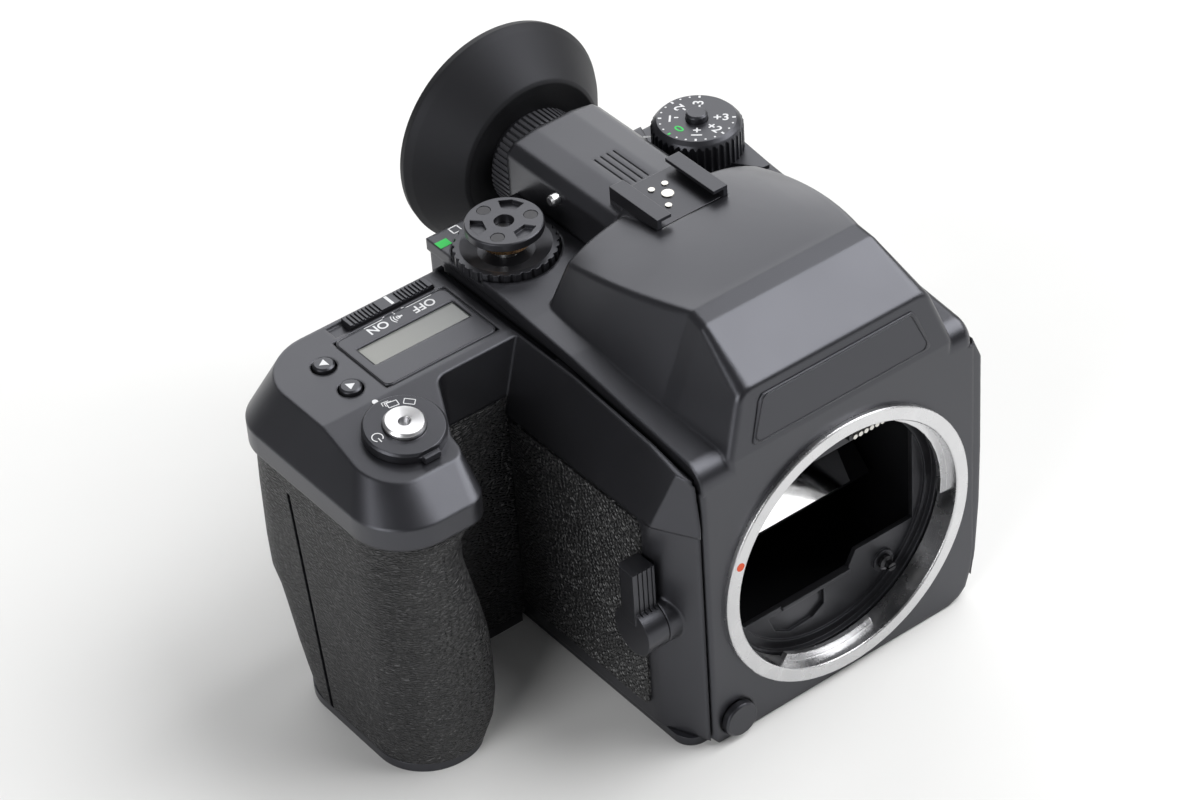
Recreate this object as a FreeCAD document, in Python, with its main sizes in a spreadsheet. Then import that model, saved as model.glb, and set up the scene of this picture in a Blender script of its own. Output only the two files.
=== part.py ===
import FreeCAD, Part
import Sketcher
import math
import os
import re
from FreeCAD import Rotation, Vector

# Medium format film camera body, without a lens.
# Drawing frame: X to the right seen from the front, Y to the back, Z up,
# Y = 0 on the front panel and Z = 0 on the table. Every piece is then placed
# so that the origin is the mouth of the tripod socket under the lens axis.

doc = FreeCAD.newDocument("MediumFormatCamera")
sheet = doc.addObject("Spreadsheet::Sheet", "Sizes")

dimensions = [
    # whole body
    ("socketBack", 38.0, "tripod axis behind the front panel"),
    ("lensHeight", 40.2, "lens axis above the table"),
    ("slack", 0.2, "clearance of a piece dropped into its seat"),
    ("running", 0.08, "radial clearance of a shaft or dial"),
    ("baseThick", 2.5, "thickness of the base plate"),
    ("baseInset", 1.5, "base plate edge inside the shells"),
    # chassis with the mirror box
    ("chassisLeft", "=chamberHalf + 4.5", "chassis side towards the grip"),
    ("chassisRight", "=chamberHalf + 2.5", "chassis side away from the grip"),
    ("chassisFront", 3.0, "chassis face behind the front panel"),
    ("chassisRear", 98.5, "rear face of the chassis"),
    ("chassisTop", "=boxRoof + 11", "top of the chassis"),
    ("boxHalf", 31.0, "half width of the mirror box"),
    ("boxFloor", 9.0, "floor of the mirror box"),
    ("boxRoof", 69.5, "roof of the mirror box"),
    ("boxRear", 63.5, "rear wall of the mirror box"),
    ("mouthRadius", 36.5, "round mouth of the chassis"),
    ("mouthDeep", 9.0, "depth of the round mouth"),
    ("gateWide", 56.0, "film gate width"),
    ("gateHigh", 41.5, "film gate height"),
    ("curtainFront", 64.3, "front of the curtain slot"),
    ("curtainRoom", 4.5, "depth of the curtain slot"),
    ("curtainLow", 3.4, "bottom of the curtain slot"),
    ("curtainHigh", "=chassisTop - 3.5", "top of the curtain slot"),
    ("filmPlane", 69.4, "film plane, 70.87 behind the face of the mount ring"),
    ("chamberHalf", "=spoolLong / 2 + 6", "half width of the film chamber"),
    ("chamberFloor", 6.0, "floor of the film chamber"),
    ("chamberRoof", "=chassisTop - 2.5", "roof of the film chamber"),
    # front panel
    ("panelThick", 3.0, "thickness of the front panel"),
    ("panelLeft", "=chassisLeft + 1", "panel edge towards the grip"),
    ("panelRight", "=chassisRight + 1", "panel edge away from the grip"),
    ("sideDeep", 4.5, "thickness of the side cover away from the grip"),
    ("panelFoot", 0.5, "lower edge of the panel"),
    ("panelShoulder", "=coverFoot - 1.7", "where the shoulders round into the panel"),
    ("shoulderRound", 6.0, "rounding of the front of the shoulders"),
    ("browHalf", 28.9, "half width of the top of the finder front"),
    ("browHigh", "=coverFoot + 18.2", "height of the top of the finder front"),
    ("browFoot", 33.9, "half width of the finder front at the shoulder"),
    ("browRound", 5.0, "rounding of the upper corners of the finder front"),
    ("browLean", 2.3, "how far the finder front leans back"),
    ("plateHalfLow", 27.2, "half width of the name plate at its foot"),
    ("plateHalfHigh", 22.6, "half width of the name plate at its top"),
    ("plateHigh", 12.2, "height of the name plate"),
    ("plateFoot", "=coverFoot + 4.5", "foot of the name plate"),
    ("plateThick", 0.3, "thickness of the name plate"),
    # top cover
    ("coverLeft", "=panelLeft - 0.3", "cover edge over the grip side"),
    ("coverRight", "=panelRight + 0.2", "cover edge away from the grip"),
    ("coverRear", 104.8, "rear edge of the cover"),
    ("coverFoot", "=chassisTop + slack", "underside of the cover"),
    ("shoulderFront", "=coverFoot + 4.3", "shoulder height at the front"),
    ("shoulderMid", "=coverFoot + 8.6", "shoulder height beside the finder"),
    ("shoulderRear", "=coverFoot + 13.1", "shoulder height at the dials"),
    ("lipThick", 3.3, "thickness of the cover lip over the grip side"),
    ("ridgeBack", 21.0, "finder ridge behind the front panel"),
    ("ridgeSoft", 2.5, "half depth of the softened ridge"),
    ("ridgeHigh", "=coverFoot + 28.9", "height of the finder ridge"),
    ("ridgeHalf", 25.2, "half width of the finder ridge"),
    ("humpRear", 66.5, "rear wall of the finder"),
    ("roofHalf", 28.6, "half width of the finder roof at the rear"),
    ("roofHigh", "=coverFoot + 20.7", "side height of the finder roof at the rear"),
    ("roofCrown", 6.0, "crown of the finder roof at the rear"),
    ("roofSwell", 2.4, "how far the roof edges bow outwards"),
    ("roofEdge", 2.0, "rounding of the roof edges"),
    ("humpFoot", 35.4, "half width of the finder foot at the ridge"),
    ("humpFlare", 1.1, "how much wider the finder foot is at the rear"),
    ("humpWall", 2.6, "wall of the finder cover"),
    # eyepiece
    ("eyeHeight", "=coverFoot + 10.3", "eyepiece axis above the table"),
    ("tubeHalf", 14.6, "half width of the eyepiece housing"),
    ("tubeTop", "=coverFoot + 26.3", "top of the eyepiece housing"),
    ("tubeFront", "=humpRear + slack", "front end of the eyepiece housing"),
    ("tubeRear", 108.0, "rear end of the eyepiece housing"),
    ("eyeBore", 9.2, "radius of the eyepiece bore"),
    ("dioptreRadius", 13.3, "radius of the knurled eyepiece ring"),
    ("dioptreLong", 9.0, "length of the knurled eyepiece ring"),
    ("collarRadius", 11.6, "radius of the collar inside the ring"),
    ("collarLong", 15.0, "length of the collar behind the housing"),
    ("cupRadius", 30.2, "outer radius of the eyecup rim"),
    ("cupThroat", 19.8, "radius of the front edge of the eyecup"),
    ("cupFront", 116.0, "front edge of the eyecup"),
    ("cupRear", 131.5, "rim of the eyecup"),
    ("cupWall", 2.0, "wall of the eyecup"),
    # accessory shoe
    ("shoeHalf", 10.6, "half width over the rails"),
    ("shoeInner", 9.35, "half width between the rails"),
    ("shoeMouth", 6.4, "half width between the rail lips"),
    ("shoeFront", 53.6, "front end of the rails"),
    ("shoeLong", 18.2, "length of the rails"),
    ("shoeFloor", "=coverFoot + 27.9", "floor of the shoe"),
    ("shoeTop", "=shoeFloor + 2.9", "top of the rails"),
    ("sheetThick", 0.9, "sheet of the rails"),
    # dials on the shoulders
    ("dialBack", 88.4, "both dial axes behind the front panel"),
    ("speedLeft", 30.2, "shutter dial axis left of the lens axis"),
    ("compRight", 29.2, "compensation dial axis right of the lens axis"),
    ("carrierRadius", 9.7, "radius of the shutter dial carrier"),
    ("carrierHigh", "=shoulderRear + 8.4", "top of the shutter dial carrier"),
    ("carrierThick", 2.4, "thickness of the shutter dial carrier"),
    ("meterRadius", 12.9, "radius over the teeth of the metering ring"),
    ("meterInner", 11.3, "radius of the dished centre of the ring"),
    ("meterThick", 2.6, "thickness of the metering ring"),
    ("postRadius", 3.4, "radius of the dial posts"),
    ("compRadius", 11.5, "radius over the flutes of the compensation dial"),
    ("compFace", 10.1, "radius of the printed face"),
    ("compTop", "=shoulderRear + 9.8", "top of the compensation dial"),
    ("lockRadius", 2.75, "radius of the dial lock button"),
    ("lockProud", 1.9, "height of the dial lock button"),
    # grip
    ("gripOuter", 105.0, "outer face of the grip"),
    ("gripFront", 34.5, "front face of the grip"),
    ("gripInner", 76.0, "inner face of the grip towards the fingers"),
    ("gripRear", 101.5, "rear face of the grip"),
    ("gripScoop", 6.0, "depth of the finger scoop under the cap"),
    ("armFront", 66.4, "rear wall of the finger gap"),
    ("skinThick", 1.4, "thickness of the grip rubber"),
    ("gripFoot", 2.5, "thickness of the grip foot"),
    ("bandFoot", "=capFoot - 6", "lower edge of the smooth band"),
    ("capFoot", "=chassisTop - 3", "lower edge of the grip cap"),
    ("gripTop", "=capFoot + 10.5", "height of the grip top"),
    ("fallStart", 69.0, "where the grip top begins to fall to the front"),
    ("frontFall", 8.0, "slope of the front of the grip top, degrees"),
    ("wallOuter", "=chassisLeft + 8.1", "side wall of the body towards the grip"),
    ("wallTopEdge", "=chassisLeft + 2.7", "top edge of the side wall"),
    ("wallFoot", "=capFoot - 10.9", "lower edge of the smooth side wall"),
    ("stripInner", "=chassisLeft + 0.1", "inner edge of the strip beside the cover"),
    ("stripFront", "=gripTop - 5.4", "height of the wall edge at the front"),
    ("grooveWide", 1.4, "groove between the cover and the wall edge"),
    # controls on the grip top
    ("lcdLeft", 78.9, "left edge of the display bezel"),
    ("lcdRight", 46.2, "right edge of the display bezel"),
    ("lcdFront", 70.6, "front edge of the display bezel"),
    ("lcdRear", 92.9, "rear edge of the display bezel"),
    ("windowLeft", 76.0, "left edge of the display window"),
    ("windowRight", 48.0, "right edge of the display window"),
    ("windowFront", 79.2, "front edge of the display window"),
    ("windowRear", 87.0, "rear edge of the display window"),
    ("bezelDeep", 1.4, "depth of the display recess"),
    ("rowLeft", 85.4, "row of the grip buttons left of the lens axis"),
    ("upBack", 87.0, "rear round button behind the front panel"),
    ("downBack", 76.0, "front round button behind the front panel"),
    ("smallButton", 2.9, "radius of the round buttons"),
    ("driveLeft", 84.3, "drive dial axis left of the lens axis"),
    ("driveBack", 56.4, "drive dial axis behind the front panel"),
    ("driveRadius", 10.0, "radius of the drive dial"),
    ("driveThick", 2.6, "height of the drive dial above the grip top"),
    ("releaseRadius", 5.15, "radius of the release button"),
    ("releaseProud", 1.6, "height of the release button above the dial"),
    ("releaseTravel", 1.2, "stroke of the release button"),
    ("switchLeft", 72.5, "left end of the main switch slider"),
    ("switchLong", 24.3, "length of the main switch slider"),
    ("switchBack", 96.2, "main switch centre behind the front panel"),
    ("switchWide", 4.0, "width of the main switch slider"),
    ("switchTravel", 4.2, "travel of the main switch"),
    # lens mount
    ("ringRadius", 37.7, "outer radius of the mount ring"),
    ("ringInner", 33.9, "inner radius of the ring face"),
    ("ringProud", 1.5, "height of the ring face above the panel"),
    ("lipRadius", 32.0, "radius inside the bayonet lips"),
    ("lipFront", 2.2, "front of the lips behind the panel face"),
    ("lipDeep", 1.5, "thickness of the bayonet lips"),
    ("ringBody", 36.3, "radius of the ring inside the panel"),
    ("ringDeep", 5.0, "depth of the ring inside the panel"),
    ("baffleHalf", 27.5, "half width of the window in the black baffle"),
    ("baffleLow", 23.4, "lower edge of the baffle window"),
    ("baffleShelf", 27.6, "lower edge of the window over the focus coupler"),
    ("ledgeLeft", 14.5, "left end of the ledge under the window"),
    ("ledgeRight", 6.8, "right end of the ledge under the window"),
    ("baffleHigh", 62.5, "upper edge of the baffle window"),
    ("couplerRight", 17.5, "focus coupler right of the lens axis"),
    ("couplerHigh", 19.8, "height of the focus coupler"),
    ("bossRadius", 3.1, "radius of the boss round the focus coupler"),
    # mirror
    ("hingeBack", 61.0, "mirror hinge behind the front panel"),
    ("hingeHigh", "=boxRoof - 2.5", "mirror hinge above the table"),
    ("mirrorHalf", 28.5, "half width of the mirror"),
    ("mirrorLong", 51.0, "length of the mirror"),
    ("mirrorGlass", 1.0, "thickness of the mirror glass"),
    ("mirrorPlate", 1.4, "thickness of the mirror holder"),
    # preview lever
    ("hubBack", 11.7, "preview lever axis behind the front panel"),
    ("hubHigh", 37.9, "preview lever axis above the table"),
    ("hubRadius", 6.5, "radius of the preview lever hub"),
    ("hubStem", 2.5, "radius of the preview lever stem"),
    ("hubOut", 56.0, "outer face of the preview lever hub"),
    ("leverTop", 56.2, "top of the preview lever"),
    ("leverOut", 56.3, "outer face of the preview lever block"),
    # lens release
    ("buttonLeft", 35.2, "lens release button left of the lens axis"),
    ("buttonHigh", 5.9, "lens release button above the table"),
    ("buttonRadius", 4.7, "radius of the lens release button"),
    ("buttonProud", 2.2, "height of the lens release button"),
    ("buttonTravel", 1.4, "stroke of the lens release button"),
    # film insert
    ("spoolRadius", 12.4, "radius of the film spool flanges"),
    ("spoolCore", 6.0, "radius of the film spool core"),
    ("spoolBore", 3.0, "radius of the spool bore"),
    ("spoolLong", 62.0, "length of a film spool"),
    ("spoolBack", 85.5, "spool axes behind the front panel"),
    ("supplyHigh", "=chamberFloor + 14.6", "height of the supply spool"),
    ("takeupHigh", "=chamberRoof - 15.4", "height of the take-up spool"),
    ("backThick", 5.6, "thickness of the film back"),
    ("latchRadius", 8.0, "radius of the film back latch"),
    # power
    ("cellRadius", 7.0, "radius of a cell"),
    ("cellPitch", 14.3, "distance between the cells"),
    ("cellFoot", "=capFoot - cellLong - 1", "lower end of the cells"),
    ("cellLong", 50.5, "length of a cell"),
    # threads
    ("threadRadius", 3.175, "radius of the tripod thread"),
    ("threadDeep", 5.5, "depth of the tripod thread"),
    ("bushRadius", 6.0, "radius of a tripod bush"),
]
aliases = set()
for row, (alias, value, meaning) in enumerate(dimensions, start=1):
    sheet.set("A%d" % row, meaning)
    sheet.setAlias("B%d" % row, alias)
    aliases.add(alias)
for row, (alias, value, meaning) in enumerate(dimensions, start=1):
    sheet.set("B%d" % row, str(value))
doc.recompute()

nodes = []
anchors = {}


def bound(text):
    """An expression in which every size name points at its cell."""
    return re.sub(r"[A-Za-z]\w*", lambda word: "Sizes." + word.group() if word.group() in aliases
                  else word.group(), str(text))


def bind(item, **properties):
    for name, text in properties.items():
        item.setExpression(name.replace("_", "."), bound(text))


def size(alias):
    return float(sheet.get(alias))


def originPlane(body, role):
    return [feature for feature in body.Origin.OriginFeatures if feature.Role == role][0]


# A shape of a sketch is a list of points (a closed outline) or one (u, v, radius) circle.
def rect(u, v):
    return [(u[0], v[0]), (u[1], v[0]), (u[1], v[1]), (u[0], v[1])]


def drawSketch(body, name, role, shapes, level):
    sketch = body.newObject("Sketcher::SketchObject", name)
    sketch.AttachmentSupport = [(originPlane(body, role), "")]
    sketch.MapMode = "FlatFace"
    # the XZ plane faces the front, so its levels count backwards
    bind(sketch, AttachmentOffset_Base_z="-(%s)" % level if role == "XZ_Plane" else level)

    def fix(kind, item, corner, text):
        index = sketch.addConstraint(Sketcher.Constraint(kind, -1, 1, item, corner, 1.0))
        sketch.setExpression("Constraints[%d]" % index, bound(text))

    for shape in shapes:
        first = sketch.GeometryCount
        if isinstance(shape, tuple):
            sketch.addGeometry(Part.Circle(Vector(1, 1, 0), Vector(0, 0, 1), 1.0), False)
            index = sketch.addConstraint(Sketcher.Constraint("Radius", first, 1.0))
            sketch.setExpression("Constraints[%d]" % index, bound(shape[2]))
            fix("DistanceX", first, 3, shape[0])
            fix("DistanceY", first, 3, shape[1])
            continue
        count = len(shape)
        ring = [Vector(40 * math.cos(2 * math.pi * i / count), 40 * math.sin(2 * math.pi * i / count), 0)
                for i in range(count)]
        for i in range(count):
            sketch.addGeometry(Part.LineSegment(ring[i], ring[(i + 1) % count]), False)
        for i in range(count):
            sketch.addConstraint(Sketcher.Constraint("Coincident", first + i, 2, first + (i + 1) % count, 1))
        for i, (u, v) in enumerate(shape):
            fix("DistanceX", first + i, 1, u)
            fix("DistanceY", first + i, 1, v)
    return sketch


def pad(body, name, role, shapes, start, length):
    """Grows from the level `start` towards +X, +Y or +Z."""
    sketch = drawSketch(body, name + "Sketch", role, shapes, start)
    feature = body.newObject("PartDesign::Pad", name)
    feature.Profile = sketch
    feature.Reversed = role == "XZ_Plane"
    bind(feature, Length=length)
    return feature


def carve(body, name, role, shapes, start, length):
    """Cuts from the level `start` towards +X, +Y or +Z."""
    doc.recompute()
    before = body.Shape.Volume
    sketch = drawSketch(body, name + "Sketch", role, shapes, start)
    feature = body.newObject("PartDesign::Pocket", name)
    feature.Profile = sketch
    feature.Reversed = role != "XZ_Plane"
    bind(feature, Length=length)
    doc.recompute()
    if body.Shape.Volume > before - 0.01:
        raise ValueError("%s in %s cuts nothing" % (name, body.Name))
    return feature


def newBody(name, role, shapes, start, length):
    body = doc.addObject("PartDesign::Body", name)
    pad(body, name + "Pad", role, shapes, start, length)
    return body


def turned(name, profile):
    """A turned piece round its own Z axis; the profile is a list of (radius, level)."""
    body = doc.addObject("PartDesign::Body", name)
    sketch = drawSketch(body, name + "Profile", "XZ_Plane", [profile], "0")
    feature = body.newObject("PartDesign::Revolution", name + "Turn")
    feature.Profile = sketch
    feature.ReferenceAxis = (sketch, ["V_Axis"])
    feature.Angle = 360
    return body


def alongAxis(edge, axis):
    if len(edge.Vertexes) != 2:
        return False
    step = edge.Vertexes[1].Point - edge.Vertexes[0].Point
    return abs(abs(step.normalize().dot(axis)) - 1) < 1e-4 if step.Length > 1e-6 else False


def soften(body, name, radius, pick, kind="Fillet"):
    """Rounds or bevels the edges of the body's tip that `pick` accepts."""
    doc.recompute()
    base = body.Tip
    chosen = ["Edge%d" % i for i, edge in enumerate(base.Shape.Edges, start=1) if pick(edge)]
    feature = body.newObject("PartDesign::" + kind, name)
    feature.Base = (base, chosen)
    bind(feature, **{"Radius" if kind == "Fillet" else "Size": radius})
    doc.recompute()
    return feature


def block(name, x, y, z):
    box = doc.addObject("Part::Box", name)
    bind(box, Length="(%s) - (%s)" % (x[1], x[0]), Width="(%s) - (%s)" % (y[1], y[0]),
         Height="(%s) - (%s)" % (z[1], z[0]))
    return stand(box, x[0], y[0], z[0])


turns = {"X": Rotation(Vector(0, 1, 0), 90), "Y": Rotation(Vector(1, 0, 0), -90), "Z": Rotation(),
         "-Y": Rotation(Vector(1, 0, 0), 90), "-X": Rotation(Vector(0, 1, 0), -90)}


def rod(name, axis, radius, length, x, y, z, angle="360"):
    cylinder = doc.addObject("Part::Cylinder", name)
    cylinder.Placement.Rotation = turns[axis]
    bind(cylinder, Radius=radius, Height=length, Angle=angle)
    return stand(cylinder, x, y, z)


def stand(item, x, y, z):
    anchors[item.Name] = (x, y, z)
    bind(item, Placement_Base_x=x, Placement_Base_y=y, Placement_Base_z=z)
    return item


def fuse(name, items):
    union = doc.addObject("Part::MultiFuse", name)
    union.Shapes = items
    return union


def cut(name, base, tool):
    result = doc.addObject("Part::Cut", name)
    result.Base = base
    result.Tool = tool
    return result


def together(name, items):
    group = doc.addObject("Part::Compound", name)
    group.Links = items
    return group


def node(item, label, x=None, y=None, z=None, axis=None, tilt=None):
    """Names a finished piece and puts it in the camera's frame."""
    held = anchors.get(item.Name, ("0", "0", "0"))
    spot = [held[i] if given is None else given for i, given in enumerate((x, y, z))]
    if axis:
        item.Placement.Rotation = turns[axis]
    if tilt:
        item.Placement.Rotation = Rotation(Vector(1, 0, 0), 1)
        bind(item, Placement_Rotation_Angle=tilt)
    item.Label = label
    bind(item, Placement_Base_x=spot[0], Placement_Base_y="(%s) - socketBack" % spot[1],
         Placement_Base_z=spot[2])
    nodes.append(item)
    return item


X = Vector(1, 0, 0)
Y = Vector(0, 1, 0)
Z = Vector(0, 0, 1)
wall = "XZ_Plane"
plan = "XY_Plane"
side = "YZ_Plane"

# Base plate with the tripod bush
base = newBody("BasePlate", plan, [rect(("-wallOuter + baseInset", "coverRight - baseInset"),
                                        ("panelThick", "chassisRear")), ("0", "socketBack", "bushRadius")],
               "0", "baseThick - 0.05")
soften(base, "BaseCorners", "5", lambda edge: alongAxis(edge, Z) and abs(edge.Vertexes[0].X) > 30)
node(base, "base_plate")

baseBush = cut("BaseBush", rod("BaseBushOuter", "Z", "bushRadius - 0.02", "baseThick + 5", "0", "socketBack", "0"),
               rod("BaseBushThread", "Z", "threadRadius", "threadDeep", "0", "socketBack", "0"))

# Chassis: mirror box, curtain slot, film chamber and finder well
chassis = newBody("Chassis", plan, [rect(("-chassisLeft", "chassisRight"), ("chassisFront", "chassisRear"))],
                  "baseThick", "chassisTop - baseThick")
carve(chassis, "MirrorBox", wall, [rect(("-boxHalf", "boxHalf"), ("boxFloor", "boxRoof"))],
      "chassisFront", "boxRear - chassisFront")
carve(chassis, "RoundMouth", wall, [("0", "lensHeight", "mouthRadius")], "chassisFront", "mouthDeep - chassisFront")
carve(chassis, "FilmGate", wall, [rect(("-gateWide / 2", "gateWide / 2"),
                                       ("lensHeight - gateHigh / 2", "lensHeight + gateHigh / 2"))],
      "boxRear", "filmPlane - boxRear")
carve(chassis, "CurtainSlot", wall, [rect(("-boxHalf", "boxHalf"), ("curtainLow", "curtainHigh"))],
      "curtainFront", "curtainRoom")
carve(chassis, "FilmChamber", wall, [rect(("-chamberHalf", "chamberHalf"), ("chamberFloor", "chamberRoof"))],
      "filmPlane", "chassisRear - filmPlane")
carve(chassis, "FinderWell", plan, [rect(("-26.5", "26.5"), ("19", "58"))], "boxRoof - 0.1", "0.8")
carve(chassis, "ScreenSeat", plan, [rect(("-28.5", "28.5"), ("17", "60"))], "boxRoof + 0.7", "3.4")
carve(chassis, "PrismSeat", plan, [rect(("-30", "30"), ("15.5", "61.5"))], "boxRoof + 4", "chassisTop - boxRoof - 4")
carve(chassis, "HingeHoles", side, [("hingeBack", "hingeHigh", "1.3")], "-boxHalf - 2", "boxHalf * 2 + 4")
carve(chassis, "SideBushSeat", side, [("socketBack + 6", "lensHeight", "bushRadius")], "chassisRight - 3", "4")
carve(chassis, "BushSeat", plan, [("0", "socketBack", "bushRadius")], "baseThick", "5")
carve(chassis, "ButtonWell", wall, [("-buttonLeft", "buttonHigh", "buttonRadius - 1.6")], "chassisFront", "6")
node(chassis, "chassis")

# Front panel round the lens mount
panelOutline = [("-panelLeft + 1.6", "panelFoot"), ("-panelLeft", "panelFoot + 1.8"), ("-panelLeft", "panelShoulder"),
                ("panelRight", "panelShoulder"), ("panelRight", "panelFoot + 15.5"), ("panelRight - 0.7", "panelFoot + 8.6"),
                ("panelRight - 2.5", "panelFoot + 3.2"), ("panelRight - 4.6", "panelFoot + 1.2"),
                ("panelRight - 8", "panelFoot")]
panel = newBody("FrontPanel", wall, [panelOutline], "0", "panelThick")
carve(panel, "MountOpening", wall, [("0", "lensHeight", "ringBody + 0.1")], "0", "panelThick")
carve(panel, "ButtonOpening", wall, [("-buttonLeft", "buttonHigh", "buttonRadius + 0.25")], "0", "1.6")
carve(panel, "ButtonHole", wall, [("-buttonLeft", "buttonHigh", "buttonRadius - 1.6")], "1.5", "2")
soften(panel, "PanelEdge", "1.4", lambda edge: edge.BoundBox.YMax < 0.01 and alongAxis(edge, Z)
       and edge.BoundBox.XMax < 0.1 - size("panelLeft"))

leanAngle = "atan(browLean / (browHigh - plateFoot + 2.9))"
plate = newBody("NamePlate", wall, [[("-plateHalfLow", "0"), ("plateHalfLow", "0"),
                                     ("plateHalfHigh + 1.2", "plateHigh - 1.6"), ("plateHalfHigh", "plateHigh"),
                                     ("-plateHalfHigh", "plateHigh"), ("-plateHalfHigh - 1.2", "plateHigh - 1.6")]],
                "-plateThick", "plateThick")
soften(plate, "PlateCorners", "1", lambda edge: alongAxis(edge, Y))
node(plate, "name_plate", "0", "1.5 * tan(%s)" % leanAngle, "plateFoot", tilt="-%s" % leanAngle)

# Top cover: shoulders that round into the front panel, and a thin lip over the grip side
rim = [("0", "shoulderFront"), ("20", "shoulderFront + 2.3"), ("35", "shoulderMid"), ("48", "shoulderMid + 1.7"),
       ("64", "shoulderRear - 1.6"), ("77", "shoulderRear - 0.2"), ("coverRear", "shoulderRear")]
underside = [(level, high + " - lipThick") for level, high in reversed(rim[1:])]
frontSkirt = [("panelThick", "panelShoulder - 0.5"), ("0", "panelShoulder - 0.5")]
cover = newBody("TopCover", side, [rim + [("coverRear", "coverFoot"), ("panelThick", "coverFoot")] + frontSkirt],
                "-stripInner + 0.3", "coverRight + stripInner - 0.3")
pad(cover, "CoverLip", side, [rim + underside + [("panelThick", "shoulderFront + 0.3 - lipThick")] + frontSkirt],
    "-coverLeft", "coverLeft - stripInner + 1.3")
soften(cover, "FrontRound", "shoulderRound", lambda edge: alongAxis(edge, X) and edge.BoundBox.YMax < 0.1
       and edge.BoundBox.ZMin > size("shoulderFront") - 0.1)
soften(cover, "RightRound", "2.5", lambda edge: edge.BoundBox.XMin > size("coverRight") - 0.01
       and edge.BoundBox.ZMin > size("shoulderFront") - 0.01 and edge.BoundBox.YLength > 10)
carve(cover, "TubeBed", wall, [rect(("-tubeHalf - 0.1", "tubeHalf + 0.1"), ("coverFoot - 1", "coverFoot + 19"))],
      "tubeFront - 0.1", "coverRear - tubeFront + 1")
pad(cover, "IndexBlock", plan, [[("18.2", "93.2"), ("18.6", "103.6"), ("23.2", "103.6"), ("21.6", "99.2"),
                                 ("19.6", "95.4")]], "shoulderRear - 1", "3.2")
carve(cover, "SpeedWell", plan, [("-speedLeft", "dialBack", "meterRadius + 0.45")], "shoulderRear - 1.4", "3")
carve(cover, "SpeedPost", plan, [("-speedLeft", "dialBack", "postRadius")], "shoulderRear - 6", "6")
carve(cover, "CompPost", plan, [("compRight", "dialBack", "postRadius")], "shoulderRear - 6", "6")
plinth = newBody("ShoePlinth", wall, [[("-shoeHalf - 3.2", "roofHigh + 3.6"), ("shoeHalf + 3.2", "roofHigh + 3.6"),
                                       ("shoeHalf + 0.1", "shoeFloor - 0.72"), ("-shoeHalf - 0.1", "shoeFloor - 0.72")]],
                 "shoeFront + 1", "humpRear - shoeFront - 1")
doc.recompute()


# Finder hump: a crowned roof that sinks to the back, leaning sides and a sloping front.
# Each outline across it has two side lines, two rounded upper corners and a crowned top.
def acrossHump(back, footHalf, footHigh, half, high, crown, radius, floor):
    def mirrored(point):
        return Vector(-point.x, point.y, point.z)
    corner = Vector(half, back, high)
    down = (Vector(footHalf, back, footHigh) - corner).normalize()
    along = Vector(-1, 0, 3 * crown / half).normalize()
    opening = math.acos(down.dot(along)) / 2
    reach = radius / math.tan(opening)
    sideEnd = corner + down * reach
    middle = corner + (down + along).normalize() * (radius / math.sin(opening) - radius)
    tops = []
    for share in (1, 0.75, 0.4, 0, -0.4, -0.75, -1):
        x = (corner + along * reach).x * share
        tops.append(Vector(x, back, high + crown * (1 - abs(x / half) ** 3)))
    curve = Part.BSplineCurve()
    curve.interpolate(tops)
    right = [Vector(footHalf, back, floor), Vector(footHalf, back, footHigh), sideEnd]
    left = [mirrored(point) for point in right]
    pieces = [Part.LineSegment(right[0], right[1]), Part.LineSegment(right[1], right[2]), Part.Arc(sideEnd, middle, tops[0]),
              curve, Part.Arc(tops[-1], mirrored(middle), left[2]), Part.LineSegment(left[2], left[1]),
              Part.LineSegment(left[1], left[0]), Part.LineSegment(left[0], right[0])]
    return Part.Wire([piece.toShape() for piece in pieces])


shoulderLine = [(0.0, size("shoulderFront")), (20.0, size("shoulderFront") + 2.3), (35.0, size("shoulderMid")),
                (48.0, size("shoulderMid") + 1.7), (200.0, size("shoulderRear"))]


def shoulderAt(back):
    for (nearBack, nearHigh), (farBack, farHigh) in zip(shoulderLine, shoulderLine[1:]):
        if back <= farBack:
            return nearHigh + (farHigh - nearHigh) * (back - nearBack) / (farBack - nearBack)


def roofOutlines(inset, floor, radius):
    outlines = []
    first = size("ridgeBack") + size("ridgeSoft")
    for share in (0, 1 / 3, 2 / 3, 1):
        swell = 4 * share * (1 - share)
        back = first + (size("humpRear") - inset - first) * share
        outlines.append(acrossHump(
            back, size("humpFoot") + size("humpFlare") * share + 0.35 * swell - 1.6 * inset, shoulderAt(back) - 1,
            size("ridgeHalf") + (size("roofHalf") - size("ridgeHalf")) * share + size("roofSwell") * swell - inset,
            size("ridgeHigh") + (size("roofHigh") - size("ridgeHigh")) * share + 0.85 * swell - inset,
            size("roofCrown") * share, radius, floor))
    return outlines


def noseOutline(back, inset, radius, floor):
    share = back / size("ridgeBack")
    return acrossHump(back, size("browFoot") + (size("humpFoot") - size("browFoot")) * share - 1.6 * inset,
                      shoulderAt(back) - 1, size("browHalf") + (size("ridgeHalf") - size("browHalf")) * share - inset,
                      size("browHigh") + (size("ridgeHigh") + 0.3 - size("browHigh")) * share - inset, 0, radius, floor)


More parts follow.
